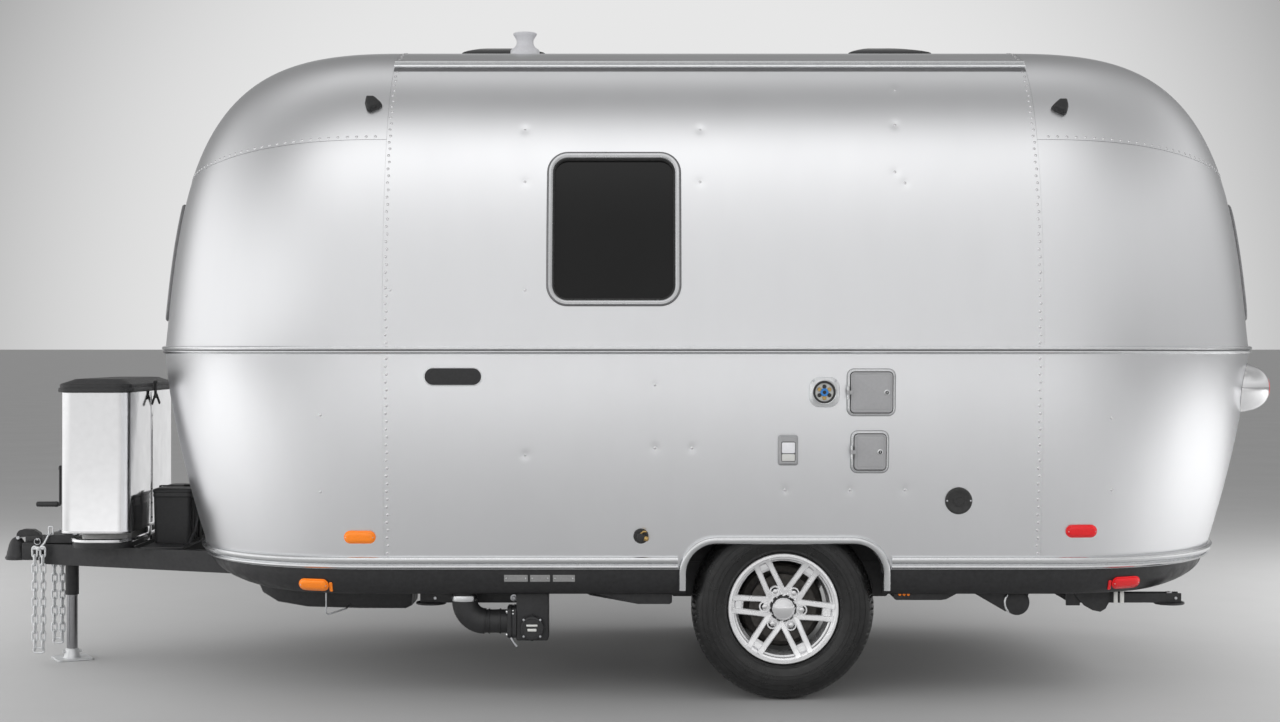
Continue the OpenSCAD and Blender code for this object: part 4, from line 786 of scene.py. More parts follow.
# Rails and trims: sections of (across, height over the skin)
BELT_SECTION = [(-0.019, 0.0004), (-0.0188, 0.003), (-0.0145, 0.0088), (-0.0105, 0.0122), (-0.0075, 0.0116),
                (-0.0064, 0.005), (-0.0026, 0.005), (-0.0016, 0.0132), (0.003, 0.0146), (0.0075, 0.0136),
                (0.0112, 0.0065), (0.012, 0.0004)]
# A dark strip in the belt moulding's groove: painted shade of the groove.
BELT_GROOVE_SHADE = [(-0.0063, 0.004), (-0.0063, 0.0062), (-0.0027, 0.0062), (-0.0027, 0.004)]
RUB_SECTION = [(-0.024, 0.0004), (-0.024, 0.006), (-0.0215, 0.013), (-0.017, 0.0165), (-0.012, 0.0145),
               (-0.01, 0.004), (-0.0062, 0.004), (-0.0042, 0.015), (0.003, 0.0205), (0.01, 0.0218),
               (0.017, 0.0195), (0.0215, 0.0145), (0.024, 0.007), (0.024, 0.0004)]
ARCH_SECTION = [(-0.015, 0.0004), (-0.015, 0.016), (-0.012, 0.0225), (-0.006, 0.0262), (0.0, 0.0268),
                (0.006, 0.0255), (0.0105, 0.0215), (0.0135, 0.015), (0.015, 0.008), (0.015, 0.0004)]
EAVE_SECTION = [(-0.019, 0.0004), (-0.0188, 0.014), (-0.0172, 0.0165), (-0.0142, 0.0165), (-0.013, 0.006),
                (-0.0078, 0.006), (-0.0066, 0.016), (-0.002, 0.019), (0.005, 0.0185), (0.011, 0.013),
                (0.015, 0.004), (0.015, 0.0004)]
# Dark strips under the drip rail's bead and in its groove: painted shade.
EAVE_SHADE_STRIP = [(-0.029, 0.0004), (-0.028, 0.003), (-0.0191, 0.003), (-0.0191, 0.0004)]
EAVE_GROOVE_SHADE = [(-0.0129, 0.005), (-0.0129, 0.0075), (-0.0079, 0.0075), (-0.0079, 0.005)]
RUB_Z, ARCH_FOOT, ARCH_TRIM, RUB_STOP = 0.526, 0.421, 0.015, 0.0306
BELT_STOPS = (DOOR_X - 0.03, DOOR_X + DOOR_W + 0.012)
SHOULDER = 0.02          # plan angle at which a rail leaves the side wall


def along(side, x0, x1, step=0.06):
    """Spots along a side wall."""
    n = max(2, round(abs(x1 - x0) / step))
    return [("wall", side, x0 + (x1 - x0) * i / n) for i in range(n + 1)]


def round_end(d, n=72):
    """Spots round an end, from the right side behind and from the left side in front."""
    t0, t1 = (SHOULDER, pi - SHOULDER)[::d]
    return [("end", d, t0 + (t1 - t0) * i / n) for i in range(n + 1)]


def at_height(spots, z):
    """Stations of a level bar at height z."""
    def station(kind, k, v):
        if kind == "wall":
            return lambda a, o: wall_at(k, v, z + a, o)[0]
        return lambda a, o: end_at(k, v, u_at(z + a), o)[0]
    return [station(*spot) for spot in spots]


def arch_stations(side):
    """Stations of the trim up, over and down the wheel opening."""
    pts = arch_path(ARCH_TRIM, k=14)
    legs = [(pts[0][0], ARCH_FOOT + (pts[0][1] - ARCH_FOOT) * i / 4) for i in range(4)]
    route = legs + pts + [(pts[-1][0], p[1]) for p in reversed(legs)]

    def station(i):
        (x, z), q, r = route[i], route[max(i - 1, 0)], route[min(i + 1, len(route) - 1)]
        k = math.hypot(r[0] - q[0], r[1] - q[1])
        nx, nz = (q[1] - r[1]) / k, (r[0] - q[0]) / k
        return lambda a, o: wall_at(side, x + a * nx, z + a * nz, o)[0]
    return [station(i) for i in range(len(route))]


def make_rails():
    """The belt moulding, the rub rail, the wheel openings' trims and the drip rails."""
    belt, rub, trims = Build(), Build(), Build()
    spots = along(1, BELT_STOPS[1], SEAM[1]) + round_end(1) + along(-1, SEAM[1], SEAM[-1])
    spots += round_end(-1) + along(1, SEAM[-1], BELT_STOPS[0])
    sweep(belt, at_height(spots, BELT), BELT_SECTION)
    sweep(belt, at_height(spots, BELT), BELT_GROOVE_SHADE, 1)
    belt.piece("belt_moulding", [TRIM, SEALANT_AND_SHADE], slot="trim_metal", nodes=["belt_rail"], angle=40)

    a0, a1 = WHEEL_X - ARCH_W / 2 - RUB_STOP, WHEEL_X + ARCH_W / 2 + RUB_STOP
    sweep(rub, at_height(along(1, a1, SEAM[1]) + round_end(1) + along(-1, SEAM[1], a1), RUB_Z), RUB_SECTION)
    sweep(rub, at_height(along(-1, a0, SEAM[-1]) + round_end(-1) + along(1, SEAM[-1], a0), RUB_Z),
          RUB_SECTION)
    rub.piece("rub_moulding", TRIM, slot="trim_metal", nodes=["rub_rail"], angle=40)

    for side in (-1, 1):
        sweep(trims, arch_stations(side), ARCH_SECTION)
        eave = at_height(along(side, SEAM[-1] + GAP, SEAM[1] - GAP), EAVE_Z)
        for section, mat in ((EAVE_SECTION, 0), (EAVE_SHADE_STRIP, 1), (EAVE_GROOVE_SHADE, 1)):
            sweep(trims, eave, section, mat)
    trims.piece("arch_and_drip_trims", [TRIM, SEALANT_AND_SHADE], slot="trim_metal", nodes=["wall_trims"], angle=40)


make_rails()

# Windows: sections of (set in, height over the skin)
WINDOW_FRAME = [(0.0, 0.0004), (0.0, 0.0075), (0.0022, 0.0108), (0.006, 0.0119), (0.013, 0.0119),
                (0.0185, 0.01), (0.0215, 0.0065), (0.022, 0.002), (0.022, -0.006), (0.0102, -0.006),
                (0.0102, 0.0004)]
WINDOW_BEAD = [(-0.002, 0.0004), (-0.002, 0.006), (0.0005, 0.0092), (0.004, 0.0123), (0.0056, 0.0121),
               (0.002, 0.01), (-0.0002, 0.007), (-0.0002, 0.0004)]
WINDOW_SEAL = [(0.0205, 0.0), (0.0215, 0.0045), (0.0245, 0.0055), (0.0275, 0.003), (0.0285, -0.004),
               (0.0285, -0.0085), (0.0205, -0.0085)]


def make_windows():
    """Frames, seals and panes of the four windows."""
    frames, seals = Build(), Build()
    side = (WINDOW_Z, WINDOW_W, WINDOW_H, WINDOW_R)
    end = (END_WINDOW_Z, END_WINDOW_W, END_WINDOW_H, WINDOW_R)
    outlines = [(on_wall(s), rounded(WINDOW_X[s], *side, k=12, m=12)) for s in (-1, 1)]
    outlines += [(on_tail(d), rounded(0, *end, k=12, m=24)) for d in (-1, 1)]
    for surf, outline in outlines:
        ring(frames, surf, outline, WINDOW_FRAME)
        ring(seals, surf, outline, WINDOW_BEAD, 1)
        ring(seals, surf, outline, WINDOW_SEAL)
    frames.piece("window_mouldings", MOULDING, slot="trim_metal", nodes=["window_frames"], angle=50)
    seals.piece("window_seals", [GASKET, SEALANT_AND_SHADE], slot="black_plastic", angle=50)
    for (surf, outline), tag in zip(outlines, ("left", "right", "front", "rear")):
        pts = outline(0.0105)
        xs, zs = [p[0] for p in pts], [p[1] for p in pts]
        sheet(f"pane_{tag}", surf, pts, grid=lattice(min(xs), max(xs), 0.06, min(zs), max(zs), 0.05),
              off=-0.008, thick=0.012, mat=[GLASS, GLASS], slot="dark_glass",
              nodes=["window_glass"] if tag == "left" else ())


make_windows()

# More shape builders
Z_AXIS = Vector((0, 0, 1))


def frame_of(n):
    """Two directions across n."""
    a = Z_AXIS.cross(n)
    if a.length < 1e-3:
        a = Vector((1, 0, 0)).cross(n)
    a.normalize()
    return a, n.cross(a).normalized()


def revolve(build, at, axis, section, n=48, mat=0, closed=False):
    """Turns a section of (radius, distance along axis) about an axis; open sections are closed by caps."""
    at, axis = Vector(at), Vector(axis).normalized()
    a, b = frame_of(axis)
    arms = [a * cos(2 * pi * i / n) + b * sin(2 * pi * i / n) for i in range(n)]
    loft(build, [[at + axis * h + arm * r for arm in arms] for r, h in section], mat, closed)


def tube(build, pts, r, n=10, mat=0, closed=False):
    """A round bar along points; r may be a list of radii."""
    pts = [Vector(p) for p in pts]
    k = len(pts)
    radii = r if isinstance(r, (list, tuple)) else [r] * k
    loops, a = [], None
    for i, p in enumerate(pts):
        t = (pts[(i + 1) % k] - pts[i - 1]) if closed else (pts[min(i + 1, k - 1)] - pts[max(i - 1, 0)])
        t.normalize()
        a = frame_of(t)[0] if a is None else (a - t * a.dot(t)).normalized()
        b = t.cross(a)
        loops.append([p + (a * cos(2 * pi * j / n) + b * sin(2 * pi * j / n)) * radii[i] for j in range(n)])
    loft(build, loops, mat, closed)


def block(build, one, other, chamfer=0.002, mat=0, turn=None):
    """A box between two corners with rounded edges, turned by a matrix if one is given."""
    bm = bmesh.new()
    lo, hi = [Vector([f(pair) for pair in zip(one, other)]) for f in (min, max)]
    bmesh.ops.create_cube(bm, size=1.0)
    for v in bm.verts:
        v.co = Vector((lo[i] + (hi[i] - lo[i]) * (v.co[i] + 0.5) for i in range(3)))
    bmesh.ops.bevel(bm, geom=bm.edges[:], offset=chamfer, segments=2, affect="EDGES", profile=0.5)
    bm.verts.index_update()
    verts = [(turn @ v.co) if turn else v.co.copy() for v in bm.verts]
    build.add(verts, [[v.index for v in f.verts] for f in bm.faces], mat)
    bm.free()


def flat(build, outline, to_point, section, mat=0):
    """A raised plate on an outline: section is (set in, height), to_point maps (a, b, height)."""
    loft(build, [[to_point(a, b, h) for a, b in outline(inset)] for inset, h in section], mat)


def dome(build, p, n, r, h, sides=8, mat=0):
    """A low screw head that stands on a surface."""
    revolve(build, p, n, [(r, -0.0006), (0.97 * r, 0.25 * h), (0.7 * r, 0.78 * h), (0.3 * r, h)], sides, mat)


def upright(build, outline, ys, mat=0):
    """A plate with an outline in x and z between two or more places across."""
    loft(build, [[Vector((x, y, z)) for x, z in outline] for y in ys], mat)


# Rivets
RIVET_R, RIVET_H = 0.006, 0.0021
SEAM_IN, SEAM_ZIGZAG, SEAM_PITCH = 0.011, 0.004, 0.029
DOME_UP, DOME_PITCH, DOOR_PITCH = 0.013, 0.035, 0.055


def rivet(build, p, n):
    """A low round rivet head."""
    rows = [(RIVET_R * q, RIVET_H * (1 - q * q) - 0.0002) for q in (1.0, 0.8, 0.55, 0.25)]
    revolve(build, p, n, rows, n=10)


def spaced_rivets(build, spots, gap):
    """A rivet at each spot (point and normal) that is a gap or more from the last one."""
    last = None
    for p, n in spots:
        if last is None or (p - last).length >= gap:
            rivet(build, p, n)
            last = p


def seam_x(d, k):
    """Place of a ring seam's rivet; every other one is set in further."""
    return SEAM[d] - d * (SEAM_IN + SEAM_ZIGZAG * (k % 2))


def seam_rivets(build):
    """The two ring seams, over the walls and the roof, and the seams of the end domes."""
    for d in (-1, 1):
        k = 0
        z = WALL_Z + 0.06
        while z < EAVE_Z - 0.02:
            if abs(z - BELT) > 0.016:
                for side in (-1, 1):
                    p, n = wall_at(side, seam_x(d, k), z, SKIN_OFF)
                    if not (side > 0 and DOOR_X - 0.02 < p.x < DOOR_X + DOOR_W + 0.02):
                        rivet(build, p, n)
            z += SEAM_PITCH * cos(min(1.2, max(0.0, u_at(z)) * 0.8))
            k += 1
        ye = roof_edge(EAVE_Z) - 0.03
        for i in range(-25, 26):
            p, n = roof_at(seam_x(d, i), ye * i / 25, SKIN_OFF)
            rivet(build, p, n)
        turns = [pi * (0.006 + 0.988 * i / 2400) for i in range(2401)]
        spaced_rivets(build, [end_at(d, t, dome_u(t) + DOME_UP, DOME_OFF) for t in turns], DOME_PITCH)


def make_rivets():
    """All rivets of the shell."""
    b = Build()
    seam_rivets(b)
    for x, z in LONE_RIVETS:
        for side in (-1, 1):
            if side > 0 and DOOR_X - 0.05 < x < DOOR_X + DOOR_W + 0.05:
                continue
            on_side = SEAM[-1] < x < SEAM[1]
            p, n = wall_at(side, x, z, SKIN_OFF - DENT_DEEP if on_side else 0.0)
            rivet(b, p, n)
    b.piece("rivets", RIVET, slot="shell_skin", angle=60)


make_rivets()

# Wheels
HALF_TRACK, TYRE_D, TYRE_W, RIM_D = 0.932, 0.689, 0.205, 0.381
WHEEL_TURN, STUD_CIRCLE = radians(-5), 0.1397
TYRE_TOP, TYRE_CROWN = TYRE_D / 2, RIM_D / 2 + 0.072
TYRE_FOOT, FOOT_HALF = RIM_D / 2 + 0.035, 0.0938       # where the side wall starts, and half the width there
TREAD_BLOCKS, BLOCK_COLS, TREAD_HALF = 88, 5, 0.0765
SLOT_LOW, SLOT_FADE, SLOT_Y, SLOT_DEEP = TYRE_TOP - 0.02, 0.012, 0.044, 0.0034
GROOVE, GROOVE_DEEP, SIPE_Y, SIPE_DEEP = (0.44, 0.8), 0.007, 0.06, 0.004
RIBS, RIB_OUT, RIB_UP = (0.3092, 0.33), 0.0011, 0.0005
# Spokes: radius, each bar's distance from the middle line, its half width, front and back
SPOKE_ROWS = ((0.05, 0.029, 0.01, 0.06, 0.044), (0.078, 0.028, 0.0102, 0.0668, 0.044),
              (0.12, 0.0262, 0.0104, 0.069, 0.045), (0.16, 0.0248, 0.0108, 0.07, 0.047),
              (0.1795, 0.0242, 0.0116, 0.072, 0.05), (0.186, 0.024, 0.012, 0.0765, 0.06),
              (0.193, 0.0238, 0.0124, 0.08, 0.0755))
# Step between the bars at the rim: radius, half width, front and back
WEB_ROWS = ((0.15, 0.014, 0.05, 0.044), (0.16, 0.015, 0.058, 0.045), (0.1795, 0.015, 0.06, 0.045))


def tyre_side(r):
    """Distance of the plain side wall from the tyre's middle plane."""
    half = TYRE_W / 2
    if r < TYRE_CROWN:
        return FOOT_HALF + (half - FOOT_HALF) * sin((r - TYRE_FOOT) / (TYRE_CROWN - TYRE_FOOT) * pi / 2)
    s = min(1.0, (r - TYRE_CROWN) / (TYRE_TOP - TYRE_CROWN)) ** 1.2
    return half * (1 - s * s) ** 0.294


def tyre_section():
    """Half section from the bead to the middle of the tread: (radius, distance from the middle plane)."""
    flange = RIM_D / 2 + 0.017
    pts = [(RIM_D / 2 + 0.0005, 0.074), (flange + 0.002, 0.0745), (flange + 0.0045, 0.0795),
           (flange + 0.0075, 0.086), (flange + 0.012, 0.0905), (flange + 0.0135, 0.0925),
           (flange + 0.0165, 0.0925)]
    last = 0.3433
    rows = [(r, 0) for r in (0.2255, 0.234, 0.242, 0.277, 0.298, 0.306, 0.3275, 0.332, 0.336, 0.3393,
                             0.3417, last)]
    for low, high, up in ((0.2505, 0.2539, 0.002), (0.264, 0.269, 0.0024), (0.285, 0.29, 0.0022)):
        rows += [(low, 0), (low + 0.0007, up), (high - 0.0007, up), (high, 0)]
    rows += [(0.3066, 0.0018), (0.309, 0.0018), (0.313, 0.0014), (0.318, 0.0012), (0.323, 0.001)]
    pts += [(r, tyre_side(r) + up) for r, up in sorted(rows)]
    tread = (0.93, 0.83, 0.72, 0.64, 0.5, 0.4, 0.33, 0.18, 0.0)
    return pts + [(TYRE_TOP, tyre_side(last) * k) for k in tread]


def make_tyre(side, name):
    """A tyre with slots and fine ribs at the shoulder and grooves in the tread."""
    half = tyre_section()
    section = half + [(r, -h) for r, h in reversed(half[:-1])]
    n = TREAD_BLOCKS * BLOCK_COLS
    middle = Vector((WHEEL_X, side * HALF_TRACK, TYRE_TOP))
    axis = Vector((0, side, 0))
    a, b = frame_of(axis)
    verts = []
    for r, h in section:
        for j in range(n):
            radius, out = r, h
            # shoulder slots
            if r > SLOT_LOW and abs(h) > SLOT_Y and j % BLOCK_COLS == 0:
                radius -= SLOT_DEEP * min(1.0, (r - SLOT_LOW) / SLOT_FADE)
            # grooves round and across the tread
            if r > TYRE_TOP - 0.001 and abs(h) < SIPE_Y:
                if GROOVE[0] < abs(h) / TREAD_HALF < GROOVE[1]:
                    radius -= GROOVE_DEEP
                elif (j // 2 + (1 if h > 0 else 0)) % 5 == 0:
                    radius -= SIPE_DEEP
            # fine ribs of the shoulder
            if RIBS[0] < r < RIBS[1] and j % 2:
                out += math.copysign(RIB_OUT, h)
                radius += RIB_UP
            turn = 2 * pi * j / n
            verts.append(middle + axis * out + (a * cos(turn) + b * sin(turn)) * radius)
    piece(name, verts, ring_faces(len(section), n, closed_rows=True), RUBBER,
          body=f"{name.replace('tyre', 'wheel')}_body", slot="tyre_rubber", nodes=[name], angle=28)


def make_wheel(side, name):
    """The alloy wheel: rim, hub, six double spokes, lug nuts and a cap."""
    c = Vector((WHEEL_X, side * HALF_TRACK, TYRE_D / 2))
    axis = Vector((0, side, 0))
    bld = Build()
    lip, rb = RIM_D / 2 + 0.017, RIM_D / 2 - 0.009
    rim = [(lip, 0.0765), (lip + 0.0004, 0.08), (lip - 0.002, 0.0838), (lip - 0.0105, 0.0842),
           (lip - 0.0135, 0.0815), (lip - 0.0145, 0.0765), (lip - 0.0205, 0.0745), (lip - 0.0225, 0.07),
           (lip - 0.0235, 0.056), (lip - 0.029, 0.052), (rb - 0.003, 0.03), (rb - 0.012, -0.02),
           (rb - 0.004, -0.06), (rb, -0.08), (lip, -0.084), (lip, -0.076), (RIM_D / 2, -0.074),
           (RIM_D / 2 - 0.004, -0.03), (RIM_D / 2 - 0.003, 0.04), (RIM_D / 2, 0.074)]
    revolve(bld, c, axis, rim, n=96, closed=True)
    # the hub's plate
    revolve(bld, c, axis, [(0.034, 0.042), (0.074, 0.042), (0.078, 0.05), (0.076, 0.058), (0.07, 0.0615),
                           (0.052, 0.0615), (0.05, 0.056), (0.034, 0.056)], n=72, closed=True)
    across, up = frame_of(axis)
    for k in range(6):
        g = WHEEL_TURN + 2 * pi * k / 6
        rad = across * cos(g) + up * sin(g)
        tan = axis.cross(rad)

        def at(r, t, h):
            return c + rad * r + tan * t + axis * h

        for e in (-1, 1):
            rows = []
            for r, mid, half, front, back in SPOKE_ROWS:
                m = e * mid
                sec = [(-half, back), (half, back), (half, front - 0.004), (half - 0.0032, front),
                       (-half + 0.0032, front), (-half, front - 0.004)]
                rows.append([at(math.sqrt(max(r * r - m * m, 0.0)), m + q, h) for q, h in sec])
            loft(bld, rows)
        # step between the two bars at the rim, and the lug's seat with its nut
        loft(bld, [[at(r, -w, lo), at(r, w, lo), at(r, w, hi), at(r, -w, hi)] for r, w, hi, lo in WEB_ROWS])
        seat = at(STUD_CIRCLE / 2, 0, 0)
        revolve(bld, seat, axis, [(0.015, 0.044), (0.0215, 0.044), (0.0215, 0.064), (0.0195, 0.0665),
                                  (0.0165, 0.0665), (0.015, 0.064)], n=28, closed=True)
        revolve(bld, seat, axis, [(0.0148, 0.044), (0.0148, 0.049)], n=20, mat=1)
        revolve(bld, seat, axis, [(0.0115, 0.048), (0.0115, 0.068), (0.01, 0.072), (0.006, 0.074)], n=6,
                mat=2)
    # cap
    revolve(bld, c, axis, [(0.0425, 0.045), (0.0425, 0.086), (0.0405, 0.089), (0.0375, 0.0895),
                           (0.0365, 0.088), (0.033, 0.0885), (0.02, 0.0912), (0.006, 0.092)], n=56, mat=2)
    revolve(bld, c, axis, [(0.052, 0.05), (0.052, 0.0565), (0.043, 0.0565)], n=48, mat=1)
    for k in range(12):
        g = 2 * pi * k / 12
        q = c + (across * cos(g) + up * sin(g)) * 0.047 + axis * 0.0565
        dome(bld, q, axis, 0.0032, 0.003, mat=2)
    bld.piece(name + "_alloy", [ALLOY, GASKET, POLISHED], body=name + "_body", slot="alloy_wheel",
              nodes=[name], angle=32)


for side, tag in ((-1, "left"), (1, "right")):
    make_tyre(side, "tyre_" + tag)
    make_wheel(side, "wheel_" + tag)

# Hatches and small fittings of the left wall
def on_left(x, z, off):
    """Point on the left wall."""
    return wall_at(-1, x, z, off)[0]


# Sections of (set in, height over the skin)
HATCH_FRAME = [(0.0, 0.0013), (0.0, 0.006), (0.0015, 0.0085), (0.005, 0.0095), (0.0065, 0.014),
               (0.0085, 0.0142), (0.0105, 0.012), (0.012, 0.008), (0.021, 0.007), (0.021, -0.045),
               (0.0152, -0.045), (0.0152, 0.0013)]
# A dark grey outline round the outside of the frame.
HATCH_OUTLINE = [(-0.0016, 0.0013), (-0.0016, 0.0032), (0.0004, 0.0062), (0.0016, 0.0088), (0.0022, 0.0087),
              (-0.0002, 0.003), (-0.0002, 0.0013)]
# A dark strip in the channel between frame and leaf: painted shade of the gap round the leaf.
HATCH_GAP_SHADE = [(0.0087, 0.01), (0.0087, 0.0139), (0.013, 0.0139), (0.013, 0.006)]
HATCH_LEAF = [(0.0128, 0.0146), (0.0123, 0.015), (0.012, 0.0195), (0.0133, 0.0214), (0.0155, 0.0219),
              (0.0172, 0.0219), (0.0182, 0.0205), (0.0207, 0.02), (0.0222, 0.0205), (0.0262, 0.021)]
MIRROR_Y = Matrix.Scale(-1, 4, (0, 1, 0))


def make_hatches():
    """Both hatches: frame, dark outline, a dark strip of painted shade in the gap round the leaf, leaf with a
    lock, and a hinge with three knuckles.
    """
    frames = Build()
    for tag, h in HATCHES.items():
        out = rounded(*h, HATCH_R, k=10, m=4)
        for mat, section in enumerate((HATCH_FRAME, HATCH_OUTLINE, HATCH_GAP_SHADE)):
            ring(frames, on_wall(-1), out, section, mat)
        leaf = Build()
        flat(leaf, out, on_left, HATCH_LEAF)
        lx = h[0] + h[2] / 2 - 0.033
        p, n = wall_at(-1, lx, h[1], 0.0208)
        revolve(leaf, p, n, [(0.0105, 0.0), (0.0105, 0.0016), (0.0092, 0.0028), (0.007, 0.003),
                             (0.0064, 0.0016)], n=28, mat=1)
        revolve(leaf, p, n, [(0.0062, 0.0), (0.0062, 0.002), (0.002, 0.002)], n=20, mat=2)
        block(leaf, (-0.0012, 0.0018, -0.0042), (0.0012, 0.0026, 0.0042), 0.0004, mat=1,
              turn=Matrix.Translation(p) @ MIRROR_Y)
        axis_x = h[0] - h[2] / 2 + 0.001
        ay = -(wall_at(1, h[0], h[1] + h[3] / 2)[0].y + 0.014 + 0.012)
        for dz, build in ((-0.016, frames), (0.0, leaf), (0.016, frames)):
            revolve(build, (axis_x, ay, h[1] + dz), Z_AXIS, [(0.005, -0.0077), (0.005, 0.0077)], n=20)
        revolve(frames, (axis_x, ay, h[1]), Z_AXIS, [(0.0025, -0.024), (0.0025, 0.024)], n=14)
        y0 = wall_at(-1, axis_x, h[1], 0.012)[0].y
        for dz in (-0.016, 0.016):
            block(frames, (axis_x - 0.002, ay, h[1] + dz - 0.007), (axis_x + 0.002, y0, h[1] + dz + 0.007),
                  0.0006)
        block(leaf, (axis_x + 0.0036, ay, h[1] - 0.007), (axis_x + 0.016, y0 - 0.004, h[1] + 0.007), 0.0008)
        leaf.piece(f"hatch_leaf_{tag}", [PAINTED, TRIM, GASKET], body=f"hatch_{tag}_body", slot="trim_metal",
                   nodes=[f"hatch_{tag}"], angle=40)
    frames.piece("hatch_surrounds", [TRIM, SEALANT_AND_SHADE, GASKET], slot="trim_metal", nodes=["hatch_frames"],
                 angle=40)


WATER_INLET, SOCKET, FLUE, VALVE = (0.773, 1.161), (0.64, 0.946), (SEAM[1] - 0.309, 0.758), (0.097, 0.626)


def make_inlet(b):
    """Water inlet: plate, ring and valve body."""
    wx, wz = WATER_INLET
    plate = rounded(wx, wz, 0.112, 0.112, 0.038, k=10, m=3)
    ring(b, on_wall(-1), plate, [(0.0, 0.0013), (0.0, 0.006), (0.002, 0.0085), (0.01, 0.0092),
                                 (0.016, 0.011)])
    ring(b, on_wall(-1), disc(wx, wz, 0.047), [(0.0, 0.006), (0.0, 0.0115), (0.003, 0.0135), (0.006, 0.012),
            (0.006, 0.006)])
    p, n = wall_at(-1, wx, wz)
    revolve(b, p, n, [(0.0415, 0.004), (0.0415, 0.012), (0.0385, 0.015), (0.035, 0.014), (0.0335, 0.006)],
            n=48, mat=1, closed=True)
    revolve(b, p, n, [(0.0345, 0.002), (0.0345, 0.005), (0.001, 0.005)], n=40, mat=4)
    a, c = frame_of(n)
    for k in range(6):
        g = radians(90 + 60 * k)
        q = p + (a * cos(g) + c * sin(g)) * 0.021 + n * 0.004
        revolve(b, q, n, [(0.0075, 0.0), (0.0075, 0.006), (0.006, 0.0075)], n=16, mat=(1, 2)[k % 2])
    revolve(b, p, n, [(0.015, 0.002), (0.015, 0.01), (0.0125, 0.0125), (0.008, 0.0115), (0.007, 0.008)],
            n=32, mat=3)
    revolve(b, p, n, [(0.0062, 0.002), (0.0062, 0.011), (0.003, 0.012)], n=20, mat=1)
    for dx in (-0.04, 0.04):
        q, m = wall_at(-1, wx + dx, wz + 0.042, 0.0085)
        dome(b, q, m, 0.0045, 0.0018, 12, 6)


# Plates of the socket box: place up from its middle, width, height, corner, material and section
SOCKET_BOX = [(0.0, 0.0013), (0.0, 0.015), (0.003, 0.023), (0.0085, 0.0285), (0.0108, 0.0285)]
SOCKET_PLATES = (
    (0.0, 0.074, 0.112, 0.01, 5, SOCKET_BOX),
    (-0.004, 0.052, 0.074, 0.006, 1, [(0.0, 0.0275), (0.0, 0.0292), (0.0015, 0.0297)]),
    # The flap's pale colour is a painted reflection of bright light.
    (0.01, 0.048, 0.04, 0.004, 7, [(0.0, 0.0285), (0.0, 0.031), (0.0012, 0.0316)]),
    (-0.026, 0.048, 0.026, 0.004, 4, [(0.0, 0.0285), (0.0, 0.0303), (0.0012, 0.0307)]),
)


def make_socket(b):
    """Socket box with a dark cover, a blank flap and a sill."""
    x, z = SOCKET
    for dz, w, h, r, mat, section in SOCKET_PLATES:
        flat(b, rounded(x, z + dz, w, h, r, k=6, m=3), on_left, section, mat)


def make_flue(b):
    """Flue cap with two screws."""
    fx, fz = FLUE
    p, n = wall_at(-1, fx, fz)
    revolve(b, p, n, [(0.05, 0.0), (0.05, 0.008), (0.0485, 0.0108), (0.0455, 0.0118), (0.038, 0.012),
                      (0.036, 0.0106), (0.022, 0.0104), (0.0205, 0.0122), (0.017, 0.0128),
                      (0.0155, 0.0108)], n=56, mat=1)
    for dx in (-0.0435, 0.0435):
        q, m = wall_at(-1, fx + dx, fz, 0.0118)
        dome(b, q, m, 0.0036, 0.0016, 10, 6)


def make_valve(b):
    """Drain valve: flange, body, a cap on its side and a bent handle."""
    p, n = wall_at(-1, *VALVE)
    revolve(b, p, n, [(0.028, 0.0), (0.028, 0.007), (0.0255, 0.0098), (0.017, 0.0104)], n=40, mat=1)
    revolve(b, p, n, [(0.015, 0.009), (0.015, 0.026), (0.0125, 0.03), (0.006, 0.031)], n=28, mat=1)
    revolve(b, p + n * 0.02 + Vector((0.012, 0, -0.004)), (0.85, -0.3, -0.25),
            [(0.0085, 0.0), (0.0085, 0.014), (0.0065, 0.0165)], n=20, mat=2)
    tube(b, [p + n * 0.024 + Vector((-0.004, 0, 0.01)), p + n * 0.027 + Vector((0.01, 0, 0.022)),
             p + n * 0.026 + Vector((0.02, 0, 0.021))], 0.0035, mat=2)


def make_fittings():
    """The small fittings of the left wall as one piece."""
    b = Build()
    for make in (make_inlet, make_socket, make_flue, make_valve):
        make(b)
    mats = [TRIM, GASKET, BRASS, BLUE, WHITE, PAINTED, ZINC, PALE]
    b.piece("wall_fittings", mats, slot="trim_metal", nodes=["side_fittings"], angle=40)


make_hatches()
make_fittings()

# Gas locker, battery box and drawbar
NOSE_X = SEAM[-1] - END - 0.743
BEAM_X = NOSE_X + 0.19
JACK_X = NOSE_X + 0.284
LOCKER_X0, LOCKER_D, LOCKER_W, LOCKER_R = NOSE_X + 0.34, 0.284, 0.8, 0.055
LOCKER_Z0, LOCKER_Z1 = 0.57, 1.16
LOCKER_MID = LOCKER_X0 + LOCKER_D / 2
BATTERY_X, BATTERY_D, BATTERY_W, BATTERY_H = LOCKER_X0 + LOCKER_D + 0.121, 0.15, 0.3, 0.212
TRAY_T = 0.008


def level(outline, inset, z, scale=(1, 1), middle=(0, 0)):
    """A loop of an outline in x and y at height z, scaled about a middle."""
    return [Vector((middle[0] + (x - middle[0]) * scale[0], middle[1] + (y - middle[1]) * scale[1], z))
            for x, y in outline(inset)]


def stack(build, outline, rows, mat=0, closed=False):
    """Loops of an outline above each other: rows are (set in, height); closed joins last and first."""
    loft(build, [level(outline, inset, z) for inset, z in rows], mat, closed)


def bolt(build, at, axis, r=0.009, h=0.006, mat=0):
    """A hexagon head on a washer."""
    revolve(build, at, axis, [(r * 1.55, -0.0005), (r * 1.55, 0.0018), (r * 1.2, 0.0022)], n=20, mat=mat)
    revolve(build, at, axis, [(r, 0.0015), (r, h), (r * 0.8, h + 0.0012)], n=6, mat=mat)


